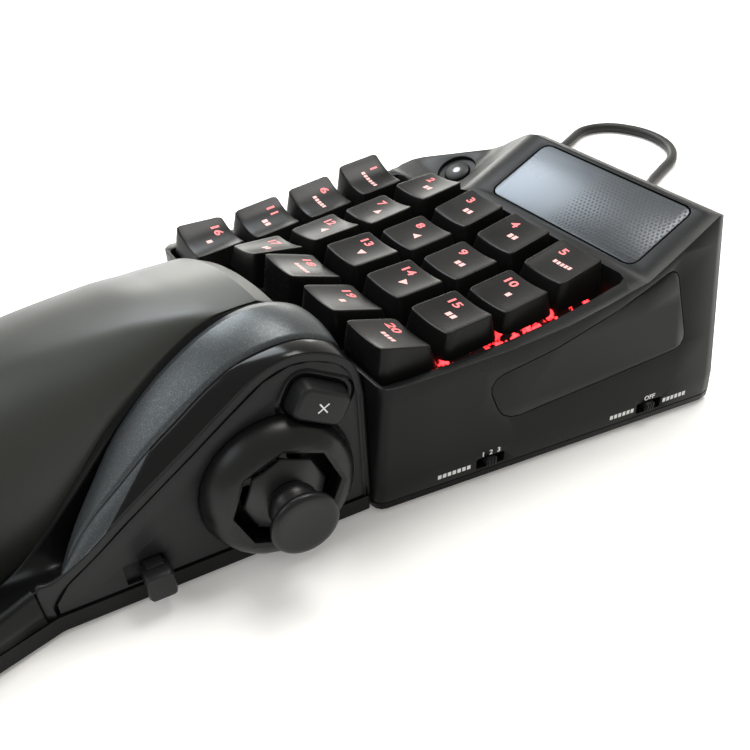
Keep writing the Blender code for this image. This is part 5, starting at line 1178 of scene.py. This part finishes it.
# Thumb unit
@dataclass
class ThumbUnit:
    """Metallic shell, gloss bevel and flush band round the thumb plate."""

    grid: Grid
    finishes: Finishes
    rear_y: float = -68.0 * MM
    rear_x: float = 46.0 * MM
    turn_degrees: float = 82.9
    lean_degrees: float = 4.0
    length: float = 80.0 * MM
    height: float = 57.2 * MM
    shell_x: float = 23.0 * MM
    trim_x: float = 36.0 * MM
    trim_front_x: float = 31.5 * MM
    foot_z: float = 6.3 * MM
    band: float = 2.0 * MM
    band_lift: float = 0.08 * MM
    band_roll: float = 6.0
    wall: float = 1.2 * MM
    crown: float = 0.8 * MM
    bevel_end: float = 0.64
    bevel_slant: float = 0.1
    bevel_foot: float = 0.86
    bevel_gap: float = 0.3 * MM
    bevel_swell: float = 0.35 * MM
    swell_way: Point = (0.5, 0.0, 0.85)
    heart_along: float = 0.4
    heart_up: float = 0.3
    rear_steps: int = 6
    steps: int = 72
    shell_columns: int = 8
    bevel_columns: int = 10
    bevel_rows: int = 60
    band_columns: int = 6
    shell_shares: tuple[Pair, ...] = (
        (0.0, 0.11), (0.0, 0.79), (0.03, 0.88), (0.08, 0.94), (0.155, 0.985), (0.23, 0.998), (0.31, 0.98),
        (0.4, 0.93), (0.5, 0.845), (0.59, 0.74), (0.665, 0.63), (0.74, 0.48), (0.8, 0.345), (0.86, 0.18),
        (0.885, 0.11))
    trim_shares: tuple[Pair, ...] = (
        (0.0, 0.11), (0.0, 0.75), (0.03, 0.84), (0.07, 0.885), (0.143, 0.93), (0.23, 0.94), (0.34, 0.915),
        (0.43, 0.85), (0.52, 0.76), (0.61, 0.67), (0.71, 0.553), (0.8, 0.447), (0.865, 0.343), (0.92, 0.2),
        (0.94, 0.11))
    plate_shares: tuple[Pair, ...] = (
        (0.0, 0.11), (0.0, 0.66), (0.02, 0.79), (0.07, 0.87), (0.15, 0.92), (0.225, 0.93), (0.31, 0.892),
        (0.42, 0.785), (0.53, 0.673), (0.64, 0.565), (0.745, 0.46), (0.84, 0.36), (0.935, 0.269),
        (0.985, 0.18), (0.99, 0.11))

    corner_shares: tuple[Pair, ...] = (
        *plate_shares[:12], (0.94, 0.284), (0.99, 0.274), (0.992, 0.11))

    def plate_frame(self) -> Matrix:
        """Matrix of the thumb plate at the rear foot of its outer face, in the grid's frame."""
        turn = Euler((math.radians(90.0 - self.lean_degrees), 0.0, math.radians(self.turn_degrees)))
        return Matrix.Translation((self.rear_x, self.rear_y, 0.0)) @ turn.to_matrix().to_4x4()

    def line(self, shares: Sequence[Pair]) -> list[Pair]:
        """Side outline as (Y, Z) points: straight rear edge, then a smooth run to the front foot."""
        rise = self.height * shares[1][1] - self.foot_z
        points = [(self.rear_y, self.foot_z + rise * k / self.rear_steps) for k in range(self.rear_steps)]
        for k in range(self.steps + 1):
            along, up = sample(shares[1:], k / self.steps)
            points.append((self.rear_y - self.length * max(along, 0.0), max(self.height * up, self.foot_z)))
        return points

    def plate_x(self, y: float, z: float) -> float:
        """X of the thumb plate's outer plane."""
        frame_of_plate = self.plate_frame()
        normal = frame_of_plate.to_3x3() @ Vector((0.0, 0.0, 1.0))
        origin = frame_of_plate.translation
        return origin.x - (normal.y * (y - origin.y) + normal.z * (z - origin.z)) / normal.x

    def plate_line(self, shares: Sequence[Pair]) -> list[Vector]:
        """Side outline laid on the thumb plate's outer plane."""
        return [Vector((self.plate_x(y, z), y, z)) for y, z in self.line(shares)]

    def trim_line(self) -> list[Vector]:
        """Side outline where the shell meets the bevel."""
        widening = (self.trim_front_x - self.trim_x) / self.length
        return [Vector((self.trim_x + widening * (self.rear_y - y), y, z))
                for y, z in self.line(self.trim_shares)]

    def inner_line(self, outer: Sequence[Vector]) -> list[Vector]:
        """Line round the plate: the outer one moved inwards on the plate's plane by the band's width."""
        made = []
        for i, point in enumerate(outer):
            ahead = ahead_at(outer, i)
            reach = math.hypot(ahead.y, ahead.z)
            y = point.y - ahead.z / reach * self.band
            z = max(point.z + ahead.y / reach * self.band, self.foot_z)
            made.append(Vector((self.plate_x(y, z), y, z)))
        return made

    def shell(self, one: Sequence[Vector], other: Sequence[Vector]) -> Shape:
        """Crowned surface between two lines of equally many points."""
        last = len(one) - 1
        heart = sum(one, Vector()) / len(one)

        def place(across: float, along: float) -> Vector:
            """Point of the shell."""
            i = round(along * last)
            point = one[i].lerp(other[i], across)
            out = Vector((0.0, point.y - heart.y, point.z - heart.z * self.heart_up))
            return point + out.normalized() * self.crown * hump(across)

        return surface(self.shell_columns, last, place)

    def bevel(self, middle: Sequence[Vector], outer: Sequence[Vector], front: bool) -> Shape:
        """Bevel from the shell's edge to the plate's plane: its gloss rear part or its front part."""
        last = len(outer) - 1

        def place(across: float, along: float) -> Vector:
            """Point of the bevel, the two parts meeting in a slanted line."""
            turn = last * (self.bevel_end + self.bevel_slant * across)
            reach = turn + (self.bevel_foot * last - turn) * along if front else turn * along
            start = along_line(middle, reach) + Vector((self.bevel_gap, 0.0, 0.0))
            point = start.lerp(along_line(outer, reach), across)
            return point + Vector(self.swell_way) * self.bevel_swell * hump(across)

        return surface(self.bevel_columns, self.bevel_rows, place)

    def band_round(self, outer: Sequence[Vector], inner: Sequence[Vector]) -> Shape:
        """Flush band on the plate's plane with a rolled outer edge."""
        last = len(outer) - 1

        def place(across: float, along: float) -> Vector:
            """Point of the band."""
            i = round(along * last)
            lift = self.band_lift * min(across * self.band_roll, 1.0)
            return outer[i].lerp(inner[i], across) + Vector((lift, 0.0, 0.0))

        return surface(self.band_columns, last, place)

    def add(self, name: str, shape: Shape, finish: Material, slot: str,
            node: str = "") -> None:
        """Add one open surface of the unit as a walled piece, which may replace a node."""
        heart = (self.shell_x, self.rear_y - self.length * self.heart_along, self.height * self.heart_up)
        self.grid.carry(facing(shape, heart))
        add_piece(name, shape, finish, "palm_unit", node, smooth=38.0, wall=self.wall)

    def build(self) -> None:
        """Model the shell, the bevel and the band round the plate."""
        f = self.finishes
        inner = [Vector((self.shell_x, y, z)) for y, z in self.line(self.shell_shares)]
        middle, outer = self.trim_line(), self.plate_line(self.plate_shares)
        self.add("thumb_shell_skin", self.shell(inner, middle), f.shell, "metallic_grey", "thumb_shell")
        self.add("gloss_bevel", self.bevel(middle, outer, False), f.trim, "black_gloss", "gloss_trim")
        self.add("front_bevel", self.bevel(middle, outer, True), f.shell, "metallic_grey")
        band = self.band_round(self.plate_line(self.corner_shares), self.inner_line(outer))
        self.add("flush_band", band, f.plate, "black_plastic")
        LOG.info("thumb unit made")


@dataclass
class Channel:
    """Gloss channel between the palm rest and the thumb unit, and the lip that ends it round the front.

    The path is the lip's outer foot seen from above, in millimetres. A row of the profile is an inset in
    millimetres, a share of the lip's height and a drop in millimetres, from the foot over the top inwards.
    """

    rest: PalmRest
    thumb: ThumbUnit
    inner_x: float = 22.8 * MM
    open_y: float = -133.0 * MM
    meet_y: float = -147.4 * MM
    end_y: float = -199.6 * MM
    floor_z: float = 6.9 * MM
    lip_high: float = 15.4 * MM
    lip_low: float = 9.2 * MM
    lip_run: float = 54.0 * MM
    lip_width: float = 2.6 * MM
    lip_lean: float = 0.09
    lean_fade: float = 3.0
    lip_wall: float = 1.0 * MM
    side_wall: float = 0.5 * MM
    side_gap: float = 0.35 * MM
    side_drop: float = 0.5 * MM
    open_drop: float = 1.2 * MM
    lip_drop: float = 1.0 * MM
    low_share: float = 0.3
    along_end: float = 0.995
    lip_heart: Point = (0.0, -170.0 * MM, 0.0)
    side_heart: Point = (20.0 * MM, -150.0 * MM, -60.0 * MM)
    path_steps: int = 6
    columns: int = 12
    rows: int = 96
    path: tuple[Pair, ...] = (
        (36.55, -147.4), (36.95, -150.0), (37.9, -155.0), (39.0, -162.3), (39.5, -168.0), (39.45, -172.5),
        (38.55, -178.5), (35.65, -185.5), (31.05, -191.5), (25.05, -196.1), (18.05, -198.95), (10.5, -199.9),
        (6.2, -199.9))
    profile: tuple[tuple[float, float, float], ...] = (
        (0.0, 0.0, 0.0), (0.0, 0.5, 0.0), (0.0, 1.0, -0.9), (0.12, 1.0, -0.45), (0.4, 1.0, -0.12),
        (0.85, 1.0, 0.0), (1.7, 1.0, 0.0), (2.2, 1.0, -0.15), (2.5, 1.0, -0.5), (2.65, 1.0, -1.1))

    def plan(self) -> list[Vector]:
        """Outer foot of the lip, seen from above."""
        return smooth_line([Vector((x * MM, y * MM, 0.0)) for x, y in self.path], self.path_steps)

    def section(self, line: Sequence[Vector], share: float) -> tuple[Vector, Vector, float]:
        """Place on the plan at a share of its length, the way inwards there and the lip's height."""
        i = round(share * (len(line) - 1))
        ahead = ahead_at(line, i).normalized()
        top = self.lip_high + (self.lip_low - self.lip_high) * held((self.meet_y - line[i].y) / self.lip_run)
        return line[i], Vector((ahead.y, -ahead.x, 0.0)), top

    def lip(self) -> None:
        """Model the rolled lip from its outer foot over its top to the channel."""
        line = self.plan()
        foot = self.rest.foot_z
        levels = len(self.profile) - 1

        def place(across: float, along: float) -> Vector:
            """Point of the lip."""
            outer, inwards, top = self.section(line, along)
            inset, way, drop = self.profile[round(across * levels)]
            lean = self.lip_lean * (top - foot) * way * max(1.0 - along * self.lean_fade, 0.0)
            point = outer + inwards * (inset * MM + lean)
            return Vector((point.x, point.y, foot + (top - foot) * way + drop * MM))

        shape = facing(surface(levels, len(line) - 1, place), self.lip_heart)
        add_piece("front_lip", self.rest.grid.carry(shape), self.thumb.finishes.case, "palm_unit",
                  "front_skirt", smooth=50.0, wall=self.lip_wall)

    def floor(self) -> None:
        """Model the channel's curved side and floor."""
        line = self.plan()
        lip_x = self.path[0][0] * MM - self.lip_width

        def place(across: float, along: float) -> Vector:
            """Point of the channel: a bend from the rest's edge over the floor to the other side."""
            edge = self.rest.place(self.rest.side_end, min(along, self.along_end))
            start = Vector((edge.x + self.side_gap, edge.y, edge.z - self.side_drop))
            if start.y > self.meet_y:
                opening = eased((self.open_y - start.y) / (self.open_y - self.meet_y))
                rise = (self.lip_high - self.open_drop - self.floor_z) * opening
                end = Vector((self.inner_x + (lip_x - self.inner_x) * opening, start.y, self.floor_z + rise))
            else:
                share = min((self.meet_y - start.y) / (self.meet_y - self.end_y), 1.0)
                outer, inwards, top = self.section(line, share)
                end = Vector((outer.x, outer.y, top - self.lip_drop)) + inwards * self.lip_width
            low = start.lerp(end, self.low_share)
            low.z = self.floor_z
            return start * (1.0 - across) ** 2 + low * 2.0 * across * (1.0 - across) + end * across**2

        shape = facing(surface(self.columns, self.rows, place), self.side_heart)
        add_piece("channel_side", self.rest.grid.carry(shape), self.thumb.finishes.channel, "palm_unit",
                  "channel_trim", smooth=50.0, wall=self.side_wall)

    def build(self) -> None:
        """Model the channel and the lip."""
        self.floor()
        self.lip()
        LOG.info("channel made")


@dataclass
class Stick:
    """Cap and octagonal dome of the thumb stick; sign and painted-shade ring of the button beside it.

    The profile's points are the cap's radius and height over the plate in millimetres.
    """

    thumb: ThumbUnit
    along: float = 23.8 * MM
    up: float = 20.9 * MM
    button_along: float = 12.5 * MM
    button_up: float = 40.8 * MM
    button_turn_degrees: float = -30.0
    button_proud: float = 4.4 * MM
    button_width: float = 14.6 * MM
    button_depth: float = 9.6 * MM
    button_corner: float = 2.9 * MM
    # reach of the gloss ring of painted shade round the button
    surround: float = 2.1 * MM
    surround_gap: float = 0.15 * MM
    surround_lift: float = 0.12 * MM
    surround_wall: float = 0.5 * MM
    plus_length: float = 3.3 * MM
    plus_width: float = 0.36 * MM
    plus_lift: float = 0.03 * MM
    plus_turn_degrees: float = 59.0
    pivot_depth: float = 11.0 * MM
    dome_sides: int = 8
    dome_radius: float = 18.2 * MM
    dome_edge: float = 10.4 * MM
    dome_hole: float = 4.4 * MM
    dome_rows: int = 8
    dome_steps: int = 64
    cap_steps: int = 56
    surround_steps: int = 48
    wall: float = 0.8 * MM
    profile: tuple[Pair, ...] = (
        (2.95, 6.2), (4.4, 6.3), (5.4, 7.1), (5.95, 8.3), (6.0, 9.6), (5.6, 10.9), (4.85, 12.0), (4.35, 12.9),
        (4.7, 13.5), (6.0, 13.75), (7.3, 14.0), (8.0, 14.6), (8.2, 15.3), (8.05, 16.0), (7.5, 16.45),
        (6.7, 16.58), (5.4, 16.45), (3.3, 16.25), (0.0, 16.15))

    def on_plate(self, shape: Shape, along: float, up: float,
                 turn: float = 0.0) -> Shape:
        """Move a shape made about Z to a place on the thumb plate, turned there by degrees."""
        place = Matrix.Translation((-along, up, 0.0)) @ Matrix.Rotation(math.radians(turn), 4, "Z")
        return moved(shape, self.thumb.grid.matrix() @ self.thumb.plate_frame() @ place)

    def on_button(self, shape: Shape) -> Shape:
        """Move a shape made about Z to the button."""
        return self.on_plate(shape, self.button_along, self.button_up, self.button_turn_degrees)

    def cap(self) -> None:
        """Turn the stick's cap from its profile."""
        shape = lathe([(radius * MM, height * MM) for radius, height in self.profile], self.cap_steps)
        add_piece("stick_cap_skin", self.on_plate(shape, self.along, self.up), self.thumb.finishes.stick,
                  "thumb_stick", "stick_cap", smooth=60.0, wall=self.wall)

    def dome(self) -> None:
        """Model the octagonal dome behind the cap, centred on the stick's pivot."""
        low, high = (math.asin(radius / self.dome_radius) for radius in (self.dome_hole, self.dome_edge))
        angles = [low + (high - low) * k / self.dome_rows for k in range(self.dome_rows + 1)]
        arc = [(self.dome_radius * math.sin(a), self.dome_radius * math.cos(a)) for a in angles]
        shape = lathe(arc, self.dome_steps)
        side = math.tau / self.dome_sides
        for vert in shape.verts:
            radius = math.hypot(vert.co.x, vert.co.y)
            angle = math.atan2(vert.co.y, vert.co.x) % side - side / 2.0
            share = held((radius - self.dome_hole) / (self.dome_edge - self.dome_hole))
            flat = 1.0 + (math.cos(side / 2.0) / math.cos(angle) - 1.0) * share
            x, y = vert.co.x * flat, vert.co.y * flat
            vert.co = (x, y, math.sqrt(self.dome_radius**2 - x * x - y * y) - self.pivot_depth)
        facing(shape, (0.0, 0.0, -self.pivot_depth))
        add_piece("stick_dome", self.on_plate(shape, self.along, self.up), self.thumb.finishes.skirt,
                  "thumb_stick", "stick_skirt", smooth=60.0, wall=self.wall)

    def plus(self) -> None:
        """Lay the plain plus sign on the button."""
        shape = bmesh.new()
        arm = (self.plus_length - self.plus_width) / 2.0
        bar(shape, 0.0, 0.0, self.plus_length, self.plus_width, self.plus_turn_degrees)
        for side in (-1.0, 1.0):
            middle = side * (self.plus_width + arm) / 2.0
            bar(shape, middle, 0.0, arm, self.plus_width, self.plus_turn_degrees + 90.0)
        bmesh.ops.translate(shape, verts=shape.verts, vec=(0.0, 0.0, self.button_proud + self.plus_lift))
        facing(shape, (0.0, 0.0, 0.0))
        add_piece("button_sign", self.on_button(shape), self.thumb.finishes.print, "thumb_button")

    def frame(self) -> None:
        """Lay a thin gloss black ring round the button on the plate, as painted shade of its pocket."""
        shape = bmesh.new()
        for reach in (self.surround_gap, self.surround):
            ring = bmesh.ops.create_circle(shape, segments=self.surround_steps, radius=1.0)["verts"]
            for vert in ring:
                scale = max(abs(vert.co.x), abs(vert.co.y))
                x, y = rounded_place(vert.co.x / scale, vert.co.y / scale, self.button_width / 2.0 + reach,
                                     self.button_depth / 2.0 + reach, self.button_corner + reach)
                vert.co = (x, y, self.surround_lift)
        bmesh.ops.bridge_loops(shape, edges=shape.edges)
        facing(shape, (0.0, 0.0, -1.0))
        add_piece("button_pocket_shade", self.on_button(shape), self.thumb.finishes.gloss, "palm_unit",
                  wall=self.surround_wall)

    def build(self) -> None:
        """Model the cap, the dome, the sign and the ring of painted shade."""
        self.cap()
        self.dome()
        self.plus()
        self.frame()
        LOG.info("stick made")


# Prints and small marks of the case
@dataclass
class CaseMarks:
    """White prints by the two slide switches, ribs on their knobs and the round button's mark."""

    grid: Grid
    finishes: Finishes
    front: Pair = (48.3 * MM, -67.6 * MM)
    back: Pair = (68.642 * MM, 44.0 * MM)
    height: float = 6.2 * MM
    profile_y: float = -35.0 * MM
    mode_y: float = 17.0 * MM
    step: float = 2.4 * MM
    digit_size: float = 2.15 * MM
    digit_up: float = 2.75 * MM
    lift: float = 0.03 * MM
    dash_pitch: float = 1.45 * MM
    dash_size: Pair = (1.05 * MM, 1.35 * MM)
    ray_start: float = 6.0 * MM
    ray_length: float = 14.0 * MM
    knob_proud: float = 0.9 * MM
    rib_size: Point = (0.4 * MM, 2.3 * MM, 0.5 * MM)
    rib_pitch: float = 0.9 * MM
    rib_lift: float = 0.1 * MM
    mark_profile: tuple[Pair, ...] = (
        (0.0, 0.22 * MM), (0.9 * MM, 0.16 * MM), (1.25 * MM, 0.1 * MM))
    button_place: Point = (-31.0 * MM, 22.0 * MM, 41.86 * MM)
    button_slope: float = 0.4145

    def wall_frame(self, y: float) -> Matrix:
        """Matrix of a place on the right wall at a slot's height: X along the wall, Y up, Z out of it."""
        run_x, run_y = self.back[0] - self.front[0], self.back[1] - self.front[1]
        x = self.front[0] + run_x * (y - self.front[1]) / run_y
        turn = Matrix.Rotation(math.atan2(run_y, run_x), 4, "Z") @ Matrix.Rotation(math.radians(90.0), 4, "X")
        return self.grid.matrix() @ Matrix.Translation((x, y, self.height)) @ turn

    def lay(self, shape: Shape, out: Vector) -> None:
        """Move a print's points back on to the case's wall."""
        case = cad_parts["top_case"]
        for vert in shape.verts:
            hit, point, _, _ = case.ray_cast(vert.co + out * self.ray_start, -out, distance=self.ray_length)
            if hit:
                vert.co = point + out * self.lift

    def print_on(self, y: float, name: str, words: Sequence[tuple[str, float]],
                 dashes: Sequence[tuple[int, float]]) -> None:
        """Print lettering above a slot and rows of dashes beside it.

        Args:
            y: the slot's place along the case.
            name: the piece's name.
            words: lettering and its place along the wall.
            dashes: count of dashes and the place of their middle.
        """
        shape = bmesh.new()
        for word, along in words:
            text = lettering(word, self.digit_size)
            bmesh.ops.translate(text, verts=text.verts, vec=(along, self.digit_up, 0.0))
            mesh = bpy.data.meshes.new("word")
            text.to_mesh(mesh)
            text.free()
            shape.from_mesh(mesh)
            bpy.data.meshes.remove(mesh)
        for count, along in dashes:
            for k in range(count):
                bar(shape, along + (k - (count - 1) / 2.0) * self.dash_pitch, 0.0, *self.dash_size)
        place = self.wall_frame(y)
        moved(facing(shape, (0.0, 0.0, -1.0)), place)
        self.lay(shape, place.to_3x3() @ Vector((0.0, 0.0, 1.0)))
        add_piece(name, shape, self.finishes.print, "key_unit")

    def ribs(self, y: float, body: str) -> None:
        """Raise three ribs on a slide switch's knob."""
        shape = bmesh.new()
        height = self.knob_proud + self.rib_lift
        for k in (-1.0, 0.0, 1.0):
            made = bmesh.ops.create_cube(shape, size=1.0)["verts"]
            bmesh.ops.scale(shape, vec=self.rib_size, verts=made)
            bmesh.ops.translate(shape, vec=(k * self.rib_pitch, 0.0, height), verts=made)
        moved(shape, self.wall_frame(y))
        add_piece(f"{body}_ribs", shape, self.finishes.plate, body, smooth=20.0)

    def round_mark(self) -> None:
        """Lay a plain silver cone mark on the round button."""
        shape = facing(lathe(self.mark_profile, 32), (0.0, 0.0, -1.0))
        place = Matrix.Translation(self.button_place) @ Matrix.Rotation(self.button_slope, 4, "X")
        moved(shape, self.grid.matrix() @ place)
        add_piece("round_mark", shape, self.finishes.silver, "home_button")

    def build(self) -> None:
        """Add every mark."""
        digits = [("1", -self.step), ("2", 0.0), ("3", self.step)]
        self.print_on(self.profile_y, "profile_print", digits, [(7, -11.0 * MM)])
        self.print_on(self.mode_y, "mode_print", [("OFF", 0.0)], [(6, -9.4 * MM), (6, 9.4 * MM)])
        self.ribs(self.profile_y, "profile_slider")
        self.ribs(self.mode_y, "mode_slider")
        self.round_mark()
        LOG.info("case marks made")


# Carried-over solids
@dataclass
class Carried:
    """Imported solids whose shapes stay: finish and edge rounding of each."""

    finishes: Finishes

    def dress(self, finish: Material, rounding: float, *names: str, segments: int = 2) -> None:
        """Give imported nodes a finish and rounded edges.

        Args:
            finish: their material.
            rounding: the width of their edges' rounding, or 0 for none.
            names: the nodes.
            segments: facets across the rounding.
        """
        for name in names:
            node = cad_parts[name]
            node.data.materials.clear()
            node.data.materials.append(finish)
            soften(node, rounding, segments)

    def build(self) -> None:
        """Dress every carried-over node."""
        f = self.finishes
        feet = [f"key_unit_foot_{n}" for n in range(1, 5)] + [f"palm_unit_foot_{n}" for n in range(1, 6)]
        self.dress(f.case, 0.35 * MM, "top_case")
        self.dress(f.case, 0.3 * MM, "bottom_case", "palm_base", segments=1)
        self.dress(f.gloss, 0.3 * MM, "side_panel")
        self.dress(f.well, 0.0, "key_plate")
        self.dress(f.switch, 0.0, "switch_board")
        self.dress(f.touch, 0.25 * MM, "touchpad")
        self.dress(f.plate, 0.2 * MM, "home_button", "profile_slider", "mode_slider")
        self.dress(f.rubber, 0.3 * MM, *feet, "strain_relief", "usb_plug_body")
        self.dress(f.steel, 0.15 * MM, "usb_plug_shell")
        self.dress(f.plate, 0.25 * MM, "thumb_plate")
        self.dress(f.collar, 0.4 * MM, "stick_collar")
        self.dress(f.plate, 0.0, "stick_gimbal")
        self.dress(f.plate, 0.5 * MM, "thumb_button", segments=3)
        self.dress(f.plate, 0.4 * MM, "lock_lever")
        self.dress(f.steel, 0.0, "stick_yoke", "stick_shaft")


def main() -> None:
    """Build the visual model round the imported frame."""
    logging.basicConfig(level=logging.INFO, format="%(name)s: %(message)s")
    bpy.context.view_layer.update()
    grid = Grid()
    finishes = Finishes(grid)
    Studio(grid).build()
    Cable(grid, finishes).build()
    Carried(finishes).build()
    KeyField(grid, finishes).build()
    rest = PalmRest(grid, finishes)
    rest.build()
    thumb = ThumbUnit(grid, finishes)
    thumb.build()
    Channel(rest, thumb).build()
    Stick(thumb).build()
    CaseMarks(grid, finishes).build()


if __name__ == "__main__":
    main()
